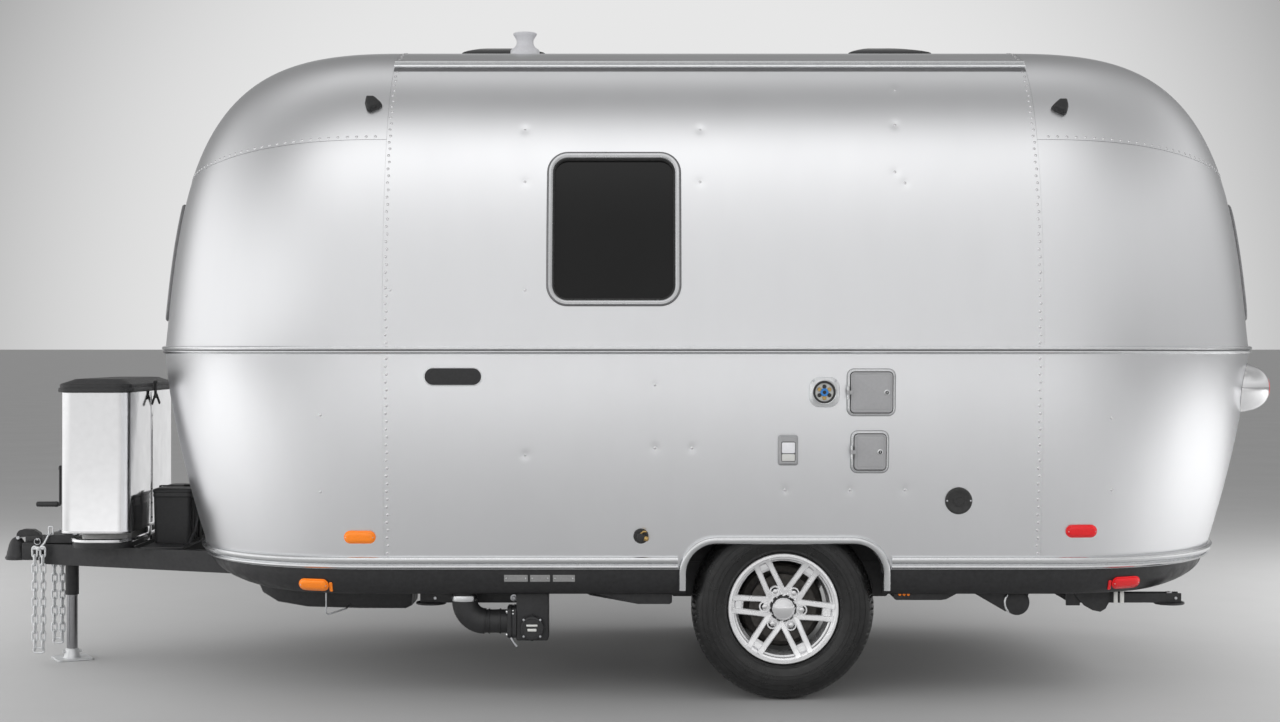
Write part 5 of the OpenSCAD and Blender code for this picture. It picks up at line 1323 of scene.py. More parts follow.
def make_gas_cover():
    """The gas bottles' cover with a riveted strap before and behind, on two feet."""
    b = Build()
    shape = rounded(LOCKER_MID, 0, LOCKER_D, LOCKER_W, LOCKER_R, k=14, m=4)
    low, high = LOCKER_Z0, LOCKER_Z1
    stack(b, shape, [(0.001, low), (0.0, low + 0.0015), (0.0, low + 0.0105), (0.0012, low + 0.012),
                     (0.0012, high - 0.003), (0.002, high), (0.006, high), (0.006, low)], closed=True)
    for s in (-1, 1):
        face = LOCKER_MID + s * (LOCKER_D / 2 - 0.0012)
        block(b, (face - s * 0.001, -0.019, low + 0.013), (face + s * 0.0009, 0.019, high - 0.022), 0.0004)
        for i in range(9):
            dome(b, Vector((face + s * 0.0009, 0, low + 0.034 + 0.062 * i)), Vector((s, 0, 0)), 0.0052,
                 0.0024, 10)
        foot = LOCKER_MID + s * 0.127
        block(b, (foot - 0.01, -0.02, WALL_Z + TRAY_T + 2 * FIT), (foot + 0.01, 0.02, low + 0.04), 0.002)
    b.piece("gas_cover_sheet", POLISHED, slot="polished_cover", nodes=["gas_cover"], angle=40)


def make_gas_lid():
    """The cover's moulded lid with a latch before and behind."""
    b = Build()
    shape = rounded(LOCKER_MID, 0, LOCKER_D, LOCKER_W, LOCKER_R, k=14, m=4)
    z = LOCKER_Z1 + FIT
    loops = [level(shape, inset, z + h) for inset, h in ((-0.001, 0.0), (-0.001, -0.016), (-0.01, -0.016),
            (-0.0125, -0.0135), (-0.0125, -0.002), (-0.0108, 0.0006), (-0.0062, 0.0012), (-0.0056, 0.003),
            (-0.0066, 0.011), (-0.0056, 0.0146), (-0.004, 0.0163))]
    loops += [level(shape, -0.004, z + h, scale, (LOCKER_MID, 0)) for scale, h in (
        ((0.985, 0.994), 0.018), ((0.715, 0.876), 0.0335), ((0.69, 0.865), 0.0358), ((0.66, 0.851), 0.0368),
        ((0.6, 0.824), 0.037), ((0.59, 0.819), 0.0358), ((0.56, 0.806), 0.0358))]
    loft(b, loops)
    for s in (-1, 1):
        face = LOCKER_MID + s * (LOCKER_D / 2 + 0.0125)
        block(b, (face - s * 0.002, -0.01, z - 0.05), (face + s * 0.007, 0.01, z + 0.016), 0.003, 1)
        block(b, (face - s * 0.004, -0.016, z + 0.012), (face + s * 0.01, 0.016, z + 0.026), 0.004, 1)
        for k in (-1, 1):
            at = Vector((face + s * 0.004, k * 0.034, z - 0.05))
            turn = Matrix.Translation(at) @ Matrix.Rotation(k * radians(55), 4, "X")
            block(b, (-0.004, -0.006, -0.04), (0.004, 0.006, 0.04), 0.003, 1, turn)
    b.piece("gas_lid_moulding", [PLASTIC, GASKET], body="gas_lid_body", slot="black_plastic",
            nodes=["gas_lid"], angle=35)


def make_gas_bottles():
    """Two gas bottles with collars and valves on a pan."""
    b = Build()
    pan = rounded(LOCKER_MID, 0, 0.25, 0.66, 0.09, k=12, m=4)
    z = WALL_Z + FIT
    stack(b, pan, [(0.004, z), (0.0, z + 0.003), (0.0, z + 0.026), (0.003, z + 0.026), (0.003, z + TRAY_T),
                   (0.03, z + TRAY_T)], 3)
    stack(b, pan, [(0.003, z + 0.025), (-0.003, z + 0.025), (-0.006, z + 0.028), (-0.006, z + 0.037),
                   (-0.003, z + 0.041), (0.003, z + 0.041)], closed=True)
    base = z + TRAY_T - 0.001
    for s in (-1, 1):
        at = Vector((LOCKER_MID, s * 0.185, base))
        section = [(0.001, 0.004), (0.092, 0.004), (0.092, 0.0), (0.1, 0.0), (0.1, 0.04)]
        section += [(0.094 + 0.03 * sin(radians(10 * i)),
                     0.076 - 0.03 * cos(radians(10 * i))) for i in range(2, 10)]
        section += [(0.124, 0.21), (0.1248, 0.212), (0.1248, 0.222), (0.124, 0.224)]
        section += [(0.124 * cos(radians(7 * i)), 0.35 + 0.07 * sin(radians(7 * i))) for i in range(12)]
        section += [(0.026, 0.43), (0.026, 0.44), (0.014, 0.442), (0.014, 0.452), (0.001, 0.452)]
        revolve(b, at, Z_AXIS, section, n=56, mat=1)
        collar = [(0.068 * cos(radians(a)), 0.068 * sin(radians(a))) for a in range(30, 331, 12)]
        tube(b, [at + Vector((x, y, 0.462)) for x, y in collar], 0.006, mat=1)
        for a in (30, 90, 180, 270, 330):
            q = Vector((0.068 * cos(radians(a)), 0.068 * sin(radians(a)), 0))
            tube(b, [at + q + Vector((0, 0, 0.405)), at + q + Vector((0, 0, 0.462))], 0.005, mat=1)
        revolve(b, at + Vector((0, 0, 0.452)), Z_AXIS, [(0.011, -0.01), (0.011, 0.006), (0.024, 0.008),
                (0.026, 0.012), (0.024, 0.016), (0.006, 0.017)], n=24, mat=2)
    b.piece("gas_bottles_on_pan", [POLISHED, BOTTLE, BRASS, CHASSIS], slot="bottle_metal",
            nodes=["gas_bottles"], angle=35)


def make_battery_box():
    """The battery box with a ribbed case, cap, strap and cable."""
    b = Build()
    z = WALL_Z + FIT
    block(b, (BATTERY_X - BATTERY_D / 2 - 0.012, -0.33, z),
          (BATTERY_X + BATTERY_D / 2 + 0.014, 0.33, z + TRAY_T), 0.002)
    shape = rounded(BATTERY_X, 0, BATTERY_D, BATTERY_W, 0.018, k=8, m=3)
    low, high = z + TRAY_T - 0.001, z + TRAY_T - 0.001 + BATTERY_H
    half = BATTERY_D / 2 + 0.0112
    loft(b, [level(shape, 0, h, (k, k), (BATTERY_X, 0)) for k, h in ((1.0, low), (1.05, high - 0.02),
            (1.075, high - 0.016), (1.075, high - 0.006), (1.06, high - 0.002), (1.06, high))])
    cap = rounded(BATTERY_X, 0, BATTERY_D + 0.016, BATTERY_W + 0.024, 0.022, k=8, m=3)
    stack(b, cap, [(0.002, high), (0.0, high + 0.002), (0.0, high + 0.01), (0.003, high + 0.014),
                   (0.01, high + 0.0165), (0.03, high + 0.019), (0.034, high + 0.0175),
                   (0.05, high + 0.0175)])
    for s in (-1, 1):
        for i in range(-3, 4):
            x = BATTERY_X + s * (BATTERY_D / 2 + 0.0015)
            lean = Matrix.Translation((x, 0.038 * i, low)) @ Matrix.Rotation(s * 0.0212, 4, "Y")
            block(b, (-0.004, -0.006, 0.012), (0.004, 0.006, BATTERY_H - 0.03), 0.002, turn=lean)
        block(b, (BATTERY_X + s * (half - 0.0026), -0.019, z + TRAY_T),
              (BATTERY_X + s * half, 0.019, high + 0.02), 0.0008, 1)
    block(b, (BATTERY_X - half, -0.019, high + 0.018), (BATTERY_X + half, 0.019, high + 0.0205), 0.0008, 1)
    block(b, (BATTERY_X + 0.02, -0.024, high + 0.0195), (BATTERY_X + 0.06, 0.024, high + 0.0255), 0.002, 2)
    end = BATTERY_X + BATTERY_D / 2
    tube(b, [(end + 0.002, -0.11, high - 0.03), (end + 0.022, -0.118, high - 0.035),
             (end + 0.036, -0.14, high - 0.075), (end + 0.03, -0.19, z + 0.06),
             (end + 0.012, -0.23, z + 0.012), (end - 0.004, -0.25, z + 0.007)], 0.006, mat=2)
    b.piece("battery_case", [PLASTIC, GASKET, CHASSIS], slot="black_plastic", nodes=["battery_box"], angle=35)


def make_coupler():
    """The coupler: socket, latch, pin and the bolted plate before the beams."""
    b = Build()
    ball, z = NOSE_X + 0.05, 0.424
    revolve(b, (ball, 0, z), Z_AXIS, [(0.001, 0.048), (0.0256, 0.048), (0.0256, 0.0), (0.046, 0.0),
            (0.05, 0.003), (0.05, 0.011), (0.047, 0.014), (0.044, 0.02), (0.0415, 0.034), (0.0375, 0.05),
            (0.033, 0.066), (0.0275, 0.079), (0.02, 0.089), (0.01, 0.0945), (0.001, 0.096)], n=48)
    block(b, (ball + 0.03, -0.042, z), (BEAM_X - FIT, 0.042, z + 0.076), 0.007)
    block(b, (ball + 0.04, -0.022, z + 0.07), (ball + 0.135, 0.022, z + 0.104), 0.005)
    handle = ((0.002, 0.096), (0.002, 0.11), (0.012, 0.124), (0.034, 0.13), (0.074, 0.128), (0.098, 0.114),
              (0.104, 0.098))
    upright(b, [(ball + x, z + h) for x, h in handle], (-0.017, -0.015, 0.015, 0.017))
    revolve(b, (ball + 0.01, 0, z + 0.0935), (0, 1, 0),
            [(0.006, -0.0265), (0.008, -0.025), (0.008, 0.025), (0.006, 0.0265)], n=20, mat=1)
    tube(b, [(ball + 0.1, -0.05, z + 0.09), (ball + 0.1, 0.05, z + 0.09)], 0.0045, mat=1)
    loop = [(ball + 0.1 + 0.013 * sin(2 * pi * i / 16), -0.047,
             z + 0.08 + 0.013 * cos(2 * pi * i / 16)) for i in range(16)]
    tube(b, loop, 0.0018, n=6, mat=1, closed=True)
    head = BEAM_X - FIT - 0.012
    block(b, (head, -0.112, WALL_Z - 0.085), (BEAM_X - FIT, 0.112, WALL_Z), 0.003)
    for y in (-0.095, -0.065, 0.065, 0.095):
        for dz in (-0.062, -0.022):
            bolt(b, (head, y, WALL_Z + dz), (-1, 0, 0), mat=1)
    b.piece("coupler_casting", [CHASSIS, ZINC], slot="black_frame", nodes=["coupler"], angle=35)


def make_jack():
    """The jack: tube with bracket and crank, and the sliding leg with its foot."""
    b, leg = Build(), Build()
    revolve(b, (JACK_X, 0, 0), Z_AXIS, [(0.0237, 0.275), (0.0272, 0.275), (0.028, 0.277), (0.028, 0.499),
            (0.028, 0.79), (0.0237, 0.79)], n=36, closed=True)
    revolve(b, (JACK_X, 0, 0), Z_AXIS, [(0.0275, 0.535), (0.04, 0.536), (0.033, 0.542), (0.029, 0.552),
            (0.0275, 0.552)], n=36, closed=True)
    # bracket with a bore for the leg
    low, top = WALL_Z + FIT, WALL_Z + FIT + 0.036
    bracket = rounded(JACK_X - 0.02, 0, 0.15, 0.22, 0.008, k=6, m=3)
    rims = ((0.004, low), (0, low + 0.004), (0, top - 0.006), (0.006, top))
    rows = [level(bracket, inset, h) for inset, h in rims]
    turns = [math.atan2(v.y, v.x - JACK_X) for v in rows[0]]
    rows += [[Vector((JACK_X + 0.026 * cos(a), 0.026 * sin(a), h)) for a in turns] for h in (top, low)]
    loft(b, rows, closed=True)
    for x, y in ((0.036, -0.08), (-0.076, -0.08), (0.036, 0.08), (-0.076, 0.08)):
        bolt(b, (JACK_X + x, y, top), Z_AXIS, mat=1)
    block(b, (JACK_X - 0.028, -0.028, 0.78), (JACK_X + 0.028, 0.028, 0.838), 0.006)
    revolve(b, (JACK_X, 0, 0.836), Z_AXIS, [(0.025, 0.0), (0.024, 0.0045), (0.018, 0.007), (0.004, 0.008)],
            n=28)
    hub, drop = JACK_X - 0.028, 0.812
    revolve(b, (hub, 0, drop), (-1, 0, 0), [(0.012, -0.002), (0.012, 0.008), (0.008, 0.01), (0.008, 0.028)],
            n=20, mat=2)
    block(b, (hub - 0.026, -0.011, 0.657), (hub - 0.018, 0.011, 0.824), 0.003, 2)
    grip = [(0.0075, -0.002), (0.0075, 0.006), (0.011, 0.008), (0.012, 0.014)]
    grip += [(0.012 - 0.0012 * (i % 2), 0.02 + 0.0055 * i) for i in range(14)]
    grip += [(0.0115, 0.096), (0.008, 0.1)]
    revolve(b, (hub - 0.024, 0, 0.659), (-1, 0, 0), grip, n=24, mat=2)
    b.piece("jack_housing", [CHASSIS, ZINC, PLASTIC], slot="black_frame", nodes=["jack_tube"], angle=35)

    revolve(leg, (JACK_X, 0, 0), Z_AXIS, [(0.0195, 0.01), (0.023, 0.01), (0.023, 0.52), (0.0195, 0.52)],
            n=36, closed=True)
    spin = Matrix.Translation((JACK_X, 0, 0)) @ Matrix.Rotation(radians(28), 4, "Z")
    plate = rounded(0, 0, 0.15, 0.15, 0.012, k=6, m=3)
    loft(leg, [[spin @ v for v in level(plate, inset, h)] for inset, h in ((0.002, 0.0), (0.0, 0.002),
            (0.0, 0.0065), (0.0015, 0.008), (0.012, 0.008), (0.016, 0.0065), (0.03, 0.0065))], 1)
    revolve(leg, (JACK_X, 0, 0), Z_AXIS, [(0.036, 0.004), (0.0355, 0.01), (0.03, 0.026), (0.027, 0.044),
            (0.024, 0.047)], n=36, mat=1)
    tube(leg, [spin @ Vector((-0.04, 0, 0.033)), spin @ Vector((0.04, 0, 0.033))], 0.0055, mat=1)
    leg.piece("jack_foot", [CHROME_DARK_REFLECTION, GALVANISED], body="jack_leg_body", slot="zinc_steel",
              nodes=["jack_leg"], angle=35)


LINK_HALF, LINK_BEND, LINK_WIRE, LINK_PITCH, LINKS = 0.0121, 0.01, 0.0044, 0.0354, 12
CHAIN_X, CHAIN_Y, CHAIN_TOP, STRAND = BEAM_X - FIT - 0.006, 0.14, 0.47, 0.017


def link(build, at, turn):
    """A chain link of round wire, upright in x and z before it is turned."""
    pts = [(LINK_BEND * cos(a), LINK_HALF + LINK_BEND * sin(a)) for a in (pi * i / 8 for i in range(9))]
    pts += [(-x, -z) for x, z in pts]
    tube(build, [at + turn @ Vector((x, 0, z)) for x, z in pts], LINK_WIRE, n=8, closed=True)


def make_chains():
    """Two double chains, and a hook from the jack's bracket to the left one."""
    b = Build()
    for side in (-1, 1):
        top = Vector((CHAIN_X, side * CHAIN_Y, CHAIN_TOP))
        for s in (-1, 1):
            for i in range(LINKS):
                link(b, top + Vector((s * STRAND, 0, -i * LINK_PITCH)),
                     Matrix.Rotation(pi / 2 * (i % 2), 3, "Z"))
        link(b, top + Vector((0, 0, -LINKS * LINK_PITCH + 0.012)), Matrix.Rotation(pi / 2, 3, "Y"))
        tube(b, [top + Vector((0, -side * 0.0277, 0.014)), top + Vector((0, side * 0.014, 0.014))], 0.005)
        revolve(b, top + Vector((0, side * 0.01, 0.014)), (0, side, 0),
                [(0.009, 0.0), (0.009, 0.004), (0.006, 0.006)], n=16)
        tube(b, [top + Vector((-STRAND - 0.006, 0, 0.014)), top + Vector((STRAND + 0.006, 0, 0.014))], 0.006)
    # clip that stands on the jack's bracket, and the hook from it to the left chain
    clip = rounded(JACK_X - 0.064, 0.5535, 0.018, 0.034, 0.004, k=4, m=3)
    tube(b, [(x, -0.09, z) for x, z in clip(0)], 0.0035, n=8, closed=True)
    tube(b, [(JACK_X - 0.064, -0.092, 0.54), (JACK_X - 0.068, -0.118, 0.534), (JACK_X - 0.08, -0.13, 0.505),
             (CHAIN_X + 0.004, -CHAIN_Y, 0.486)], 0.0042, n=8)
    b.piece("chain_links", GALVANISED, slot="zinc_steel", nodes=["safety_chains"], angle=40)


make_gas_cover()
make_gas_lid()
make_gas_bottles()
make_battery_box()
make_coupler()
make_jack()
make_chains()

# Skirt under the walls
SKIRT_IN, SKIRT_T, SKIRT_H, SKIRT_TURN, SKIRT_SIDE, SKIRT_END = 0.008, 0.02, 0.097, radians(72), 0.055, 0.26


def skirt_at(d, t, i, off=0.0):
    """Point of the skirt round an end; i runs from 0 at the wall to 1 at the lower edge."""
    tuck = SKIRT_SIDE + (SKIRT_END - SKIRT_SIDE) * sin(t) ** 2
    p = end_at(d, t, -1.0, off - SKIRT_IN - tuck * (1 - cos(SKIRT_TURN * i)))[0]
    return p - Vector((0, 0, SKIRT_H * sin(SKIRT_TURN * i) / sin(SKIRT_TURN)))


def skirt_patch(d, side, x, z, off):
    """Point of the skirt at x and z, by halving the plan angle's range."""
    i = math.asin(min(1.0, max(0.0, (WALL_Z - z) / SKIRT_H * sin(SKIRT_TURN)))) / SKIRT_TURN
    low, high = 0.0, pi / 2
    for _ in range(40):
        mid = (low + high) / 2
        if d * (skirt_at(d, mid, i, off).x - x) < 0:
            low = mid
        else:
            high = mid
    p = skirt_at(d, low if side > 0 else pi - low, i, off)
    return Vector((x, p.y, p.z))


def make_skirt():
    """The skirt round both ends and along the sides, open at the wheels."""
    b = Build()
    rows = 10
    section = [(i / rows, 0.0) for i in range(rows + 1)] + [(i / rows, -SKIRT_T) for i in range(rows, -1, -1)]
    for d in (-1, 1):
        sweep(b, [lambda i, off, t=pi * j / 96: skirt_at(d, t, i, off) for j in range(97)], section)
    for side in (-1, 1):
        for x0, x1 in ((SEAM[-1], WHEEL_X - ARCH_W / 2 - GAP), (WHEEL_X + ARCH_W / 2 + GAP, SEAM[1])):
            def place(i, off, x):
                p = skirt_at(1, 0.0 if side > 0 else pi, i, off)
                return Vector((x, p.y, p.z))
            sweep(b, [lambda i, off, x=x0 + (x1 - x0) * j / 12: place(i, off, x) for j in range(13)], section)
    b.piece("skirt_panels", CHASSIS, slot="black_frame", nodes=["skirt"], angle=40)


make_skirt()

# Blank badge and plates
BADGE = (SEAM[-1] + 0.261, 1.218, 0.216, 0.07)
NUMBER_PLATE = (0.0, 0.8, 0.34, 0.16)
RATING = ((SEAM[-1] + 0.444, 0.088), (SEAM[-1] + 0.541, 0.074), (SEAM[-1] + 0.626, 0.082))
RATING_Z, RATING_H = 0.452, 0.026


def skirt_wall(x, z, off):
    """Point of the skirt's straight left side at x and z."""
    i = math.asin((WALL_Z - z) / SKIRT_H * sin(SKIRT_TURN)) / SKIRT_TURN
    p = skirt_at(1, pi, i, off)
    return Vector((x, p.y, p.z))


def make_plates():
    """A blank badge, number plate and rating plates."""
    b = Build()
    pill = rounded(*BADGE, BADGE[3] / 2 - 0.0001, k=16, m=10)
    ring(b, on_wall(-1), pill, [(0.0, 0.0013), (0.0, 0.0048), (0.001, 0.0062), (0.0034, 0.0064),
                                (0.0048, 0.0052), (0.0052, 0.003), (0.0052, 0.0013)], 1)
    flat(b, pill, on_left, [(0.0048, 0.0013), (0.0048, 0.0042), (0.0075, 0.0046), (0.02, 0.005)], 0)
    plate = rounded(*NUMBER_PLATE, 0.012, k=8, m=10)

    def on_rear(y, z, off):
        return tail_at(1, y, z, off)[0]

    ring(b, on_tail(1), plate, [(0.0, 0.0004), (0.0, 0.006), (0.0015, 0.0075), (0.009, 0.0075),
                                (0.0105, 0.005), (0.0105, 0.0004)], 0)
    flat(b, plate, on_rear, [(0.01, 0.0004), (0.01, 0.004), (0.0115, 0.0046)], 3)
    for s in (-1, 1):
        p, n = tail_at(1, s * 0.09, NUMBER_PLATE[1] + 0.055, 0.0044)
        dome(b, p, n, 0.0055, 0.0024, 12, 1)
    for x, length in RATING:
        card = rounded(x + length / 2, RATING_Z + RATING_H / 2, length, RATING_H, 0.002, k=4, m=4)
        flat(b, card, skirt_wall, [(0.0, 0.0003), (0.0, 0.0018), (0.0006, 0.0022), (0.003, 0.0022),
                                   (0.0036, 0.0014), (0.005, 0.0014)], 2)
        for dx in (0.008, length - 0.008):
            p = skirt_wall(x + dx, RATING_Z + RATING_H / 2, 0.0012)
            dome(b, p, Vector((0, -1, 0)), 0.003, 0.0016, 10, 1)
    b.piece("blank_badge_and_plates", [PLASTIC, TRIM, PLATE, WHITE], slot="black_plastic",
            nodes=["blank_plates"], angle=40)


make_plates()

# Waste pipe, stabilizers and what hangs under the floor
RAIL_Y = 0.7
DRAIN = Vector((SEAM[-1] + 0.287, -RAIL_Y - 0.245, 0.29))
DRAIN_R, DRAIN_BEND, DRAIN_RUN, GATE_L = 0.044, 0.078, 0.128, 0.12
STABILIZERS = {"front": (SEAM[-1] + 0.527, -1), "rear": (SEAM[1] + 0.167, 1)}
STAB_Z, STAB_Y, STAB_HALF = 0.365, RAIL_Y + 0.12, RAIL_Y + 0.158
LEG_L, LEG_W, PAD_R, PAD_DROP = 0.42, 0.056, 0.058, 0.026
FLOOR_Z = WALL_Z - FIT


def make_drain():
    """The waste pipe with its bend, gate valve and capped outlet."""
    b = Build()
    x, y, z = DRAIN
    hub = Vector((x + DRAIN_BEND, y, z + DRAIN_BEND))
    revolve(b, (x, y, 0), Z_AXIS, [(DRAIN_R, hub.z - 0.004), (DRAIN_R, FLOOR_Z - 0.012),
            (DRAIN_R + 0.012, FLOOR_Z - 0.01), (DRAIN_R + 0.012, FLOOR_Z)], n=40)
    revolve(b, (x, y, hub.z), Z_AXIS, [(DRAIN_R - 0.002, 0.0), (0.049, 0.0), (0.0496, 0.003),
            (0.0496, 0.018), (0.049, 0.021), (DRAIN_R - 0.002, 0.021)], n=40, mat=1, closed=True)
    arc = [hub + Vector((DRAIN_BEND * cos(a), 0,
                         DRAIN_BEND * sin(a))) for a in (pi + pi / 2 * i / 12 for i in range(13))]
    tube(b, arc, 0.0485, n=32)
    run = x + DRAIN_BEND
    section = [(DRAIN_R, -0.006), (DRAIN_R, 0.012), (0.0478, 0.013), (0.0478, 0.017), (DRAIN_R, 0.018),
               (DRAIN_R, 0.054), (0.0478, 0.055), (0.0478, 0.059), (DRAIN_R, 0.06),
               (DRAIN_R, DRAIN_RUN - 0.02)]
    revolve(b, (run, y, z), (1, 0, 0), section, n=40)
    gate = run + DRAIN_RUN - 0.008
    flange = rounded(y, z, 0.104, 0.118, 0.02, k=6, m=3)
    loft(b, [[Vector((gate - 0.034 + h, p, q)) for p, q in flange(inset)] for inset, h in (
        (0.002, 0.0), (0.0, 0.002), (0.0, 0.014), (0.003, 0.016), (0.003, 0.018), (0.0, 0.02), (0.0, 0.034))])
    for dy in (-0.044, 0.044):
        for dz in (-0.046, 0.04):
            bolt(b, (gate - 0.034, y + dy, z + dz), (-1, 0, 0), r=0.005, h=0.005, mat=1)
    for dz in (0.046, 0.034):
        dome(b, Vector((gate - 0.012, y - 0.0515, z + dz)), Vector((0, -1, 0)), 0.0045, 0.003, 10, 1)
    tube(b, [(gate - 0.02, y - 0.04, z - 0.058), (gate - 0.01, y - 0.044, z - 0.074),
             (gate + 0.002, y - 0.044, z - 0.09)], [0.005, 0.005, 0.006], mat=3)
    low, high = z - 0.068, FLOOR_Z - 0.004
    block(b, (gate, y - 0.05, low), (gate + GATE_L, y + 0.05, high), 0.006)
    cap = Vector((gate + GATE_L / 2, y - 0.049, z - 0.018))
    revolve(b, cap, (0, -1, 0), [(0.05, 0.0), (0.05, 0.01), (0.0475, 0.013)], n=8)
    revolve(b, cap, (0, -1, 0), [(0.044, 0.01), (0.044, 0.018), (0.042, 0.0215), (0.036, 0.0225),
                                 (0.034, 0.0205), (0.02, 0.0205)], n=40)
    for k in range(4):
        g = radians(45 + 90 * k)
        block(b, (-0.004, -0.024, 0.04), (0.004, -0.008, 0.048), 0.0015, 3,
              Matrix.Translation(cap) @ Matrix.Rotation(g, 4, "Y"))
    # Two raised bars on the cap, coloured pale: painted highlights on the cap's glossy black grip.
    block(b, cap + Vector((-0.021, -0.024, 0.006)), cap + Vector((0.021, -0.0195, 0.014)), 0.002, 2)
    block(b, cap + Vector((-0.017, -0.023, -0.012)), cap + Vector((0.017, -0.02, -0.002)), 0.002, 2)
    b.piece("waste_pipe", [PLASTIC, TRIM, WHITE, ZINC], slot="black_plastic", nodes=["drain_pipe"], angle=35)


def make_stabilizer(tag):
    """A pair of legs with pads on one turning tube."""
    x, d = STABILIZERS[tag]
    b = Build()
    revolve(b, (x, 0, STAB_Z), (0, 1, 0), [(0.0122, -STAB_HALF), (0.019, -STAB_HALF),
            (0.02, -STAB_HALF + 0.002), (0.02, STAB_HALF - 0.002), (0.019, STAB_HALF), (0.0122, STAB_HALF)],
            n=32, closed=True)
    for s in (-1, 1):
        y = s * STAB_Y
        xs = sorted((x, x + d * LEG_L))
        half = LEG_W / 2
        section = [(-half, -0.018), (half, -0.018), (half, 0.018), (half - 0.005, 0.018),
                   (half - 0.005, -0.013), (-half + 0.005, -0.013), (-half + 0.005, 0.018), (-half, 0.018)]
        loft(b, [[Vector((px, y + a, STAB_Z + h)) for a, h in section] for px in xs])
        block(b, (xs[0] + 0.004, y - half + 0.004, STAB_Z + 0.01),
              (xs[1] - 0.004, y + half - 0.004, STAB_Z + 0.014), 0.001)
        pad = Vector((x + d * (LEG_L - 0.04), y, STAB_Z - PAD_DROP))
        revolve(b, pad, Z_AXIS, [(0.04, 0.0022), (PAD_R - 0.003, 0.0), (PAD_R, 0.002), (PAD_R, 0.0075),
                                 (PAD_R - 0.002, 0.009), (PAD_R - 0.006, 0.009), (PAD_R - 0.012, 0.0055),
                                 (0.024, 0.0055), (0.02, 0.0095)], n=40)
        revolve(b, pad + Vector((0, 0, 0.044)), Z_AXIS, [(0.011, -0.004), (0.011, 0.002), (0.0095, 0.004)],
                n=6, mat=1)
        tube(b, [pad + Vector((0.018, -0.034, 0.026)), pad + Vector((0.018, 0.034, 0.026))], 0.0055, mat=1)
        bolt(b, (x + d * 0.06, y + s * half, STAB_Z), (0, s, 0), mat=1)
    b.piece(f"stabilizer_legs_{tag}", [CHASSIS, ZINC], body=f"stabilizer_{tag}_body", slot="black_frame",
            nodes=[f"stabilizer_{tag}"], angle=35)


def folded(build, pts, ys, thick):
    """A sheet bent along points of x and z, between two places across."""
    back = []
    for i, (x, z) in enumerate(pts):
        q, r = pts[max(i - 1, 0)], pts[min(i + 1, len(pts) - 1)]
        tx, tz = r[0] - q[0], r[1] - q[1]
        k = math.hypot(tx, tz)
        back.append((x - thick * tz / k, z + thick * tx / k))
    upright(build, pts + back[::-1], ys)


# Splash pans: the bent sheet and the plate at its sides
PAN_Y, PAN_T = (0.78, 1.0), 0.004
FRONT_PAN = [(-0.113, 0.46), (-0.108, 0.402), (-0.095, 0.394), (0.06, 0.366), (0.085, 0.361),
             (0.206, 0.361), (0.214, 0.368), (0.216, FLOOR_Z)]
FRONT_CHEEK = [(-0.108, 0.458), (-0.104, 0.404), (0.084, 0.364), (0.212, 0.364), (0.212, FLOOR_Z),
               (-0.06, FLOOR_Z)]
REAR_PAN = [(1.046, FLOOR_Z), (1.048, 0.383), (1.056, 0.376), (1.225, 0.376), (1.245, 0.379), (1.3, 0.408),
            (1.308, 0.416), (1.312, 0.46)]
REAR_CHEEK = [(1.05, FLOOR_Z), (1.05, 0.38), (1.24, 0.38), (1.306, 0.418), (1.308, 0.458), (1.26, FLOOR_Z)]
# Belly pan: x, inner and outer side, lower face
BELLY_ROWS = ((-1.4, 0.56, 0.68, 0.396), (-1.385, 0.55, 0.69, 0.366), (-1.32, 0.545, 0.725, 0.334),
              (-1.2, 0.545, 0.755, 0.318), (-1.0, 0.545, 0.77, 0.314), (-0.815, 0.545, 0.775, 0.314),
              (-0.792, 0.55, 0.77, 0.325), (-0.786, 0.56, 0.76, 0.396))
BELLY_TOP, BELLY_R = 0.4147, 0.018
WEDGE = [(1.342, 0.404), (1.48, 0.324), (1.5, 0.33), (1.56, 0.36), (1.572, 0.404), (1.572, FLOOR_Z),
         (1.342, FLOOR_Z)]
WEDGE_Y, WEDGE_END = 0.9, (1.524, 0.358)
HANGER_PLATE = [(1.748, FLOOR_Z), (1.748, 0.402), (1.762, 0.372), (1.79, 0.34), (1.822, 0.322),
                (1.852, 0.316), (1.872, 0.328), (1.884, 0.35), (1.89, 0.402), (1.89, FLOOR_Z)]


def make_splash_pans(b, side):
    """Pans before and behind a wheel, and liner plates in its opening; the step is in front on the right."""
    ys = sorted(side * y for y in PAN_Y)
    for pan, cheek in ((FRONT_PAN, FRONT_CHEEK), (REAR_PAN, REAR_CHEEK))[0 if side < 0 else 1:]:
        folded(b, pan, ys, PAN_T)
        for y in (ys[0] + PAN_T, ys[1] - PAN_T):
            upright(b, cheek, (y - PAN_T / 2, y + PAN_T / 2))
    for x, d in ((0.214, 1), (1.05, -1)):
        liner = [(x, FLOOR_Z), (x, 0.374), (x + d * 0.008, 0.366), (x + d * 0.08, 0.366),
                 (x + d * 0.104, 0.378), (x + d * 0.116, 0.402), (x + d * 0.116, FLOOR_Z)]
        upright(b, liner, (side * 0.798, side * 0.802))


def make_belly_pan(b, side):
    """A rounded pan under the front of the floor."""
    rows, r = [], BELLY_R
    for x, y0, y1, z in BELLY_ROWS:
        half = [(0, BELLY_TOP), (0, z + r), (0.3 * r, z + 0.3 * r), (r, z)]
        row = [(y0 + q, h) for q, h in half] + [(y1 - q, h) for q, h in reversed(half)]
        rows.append([Vector((x, side * y, h)) for y, h in row])
    loft(b, rows)


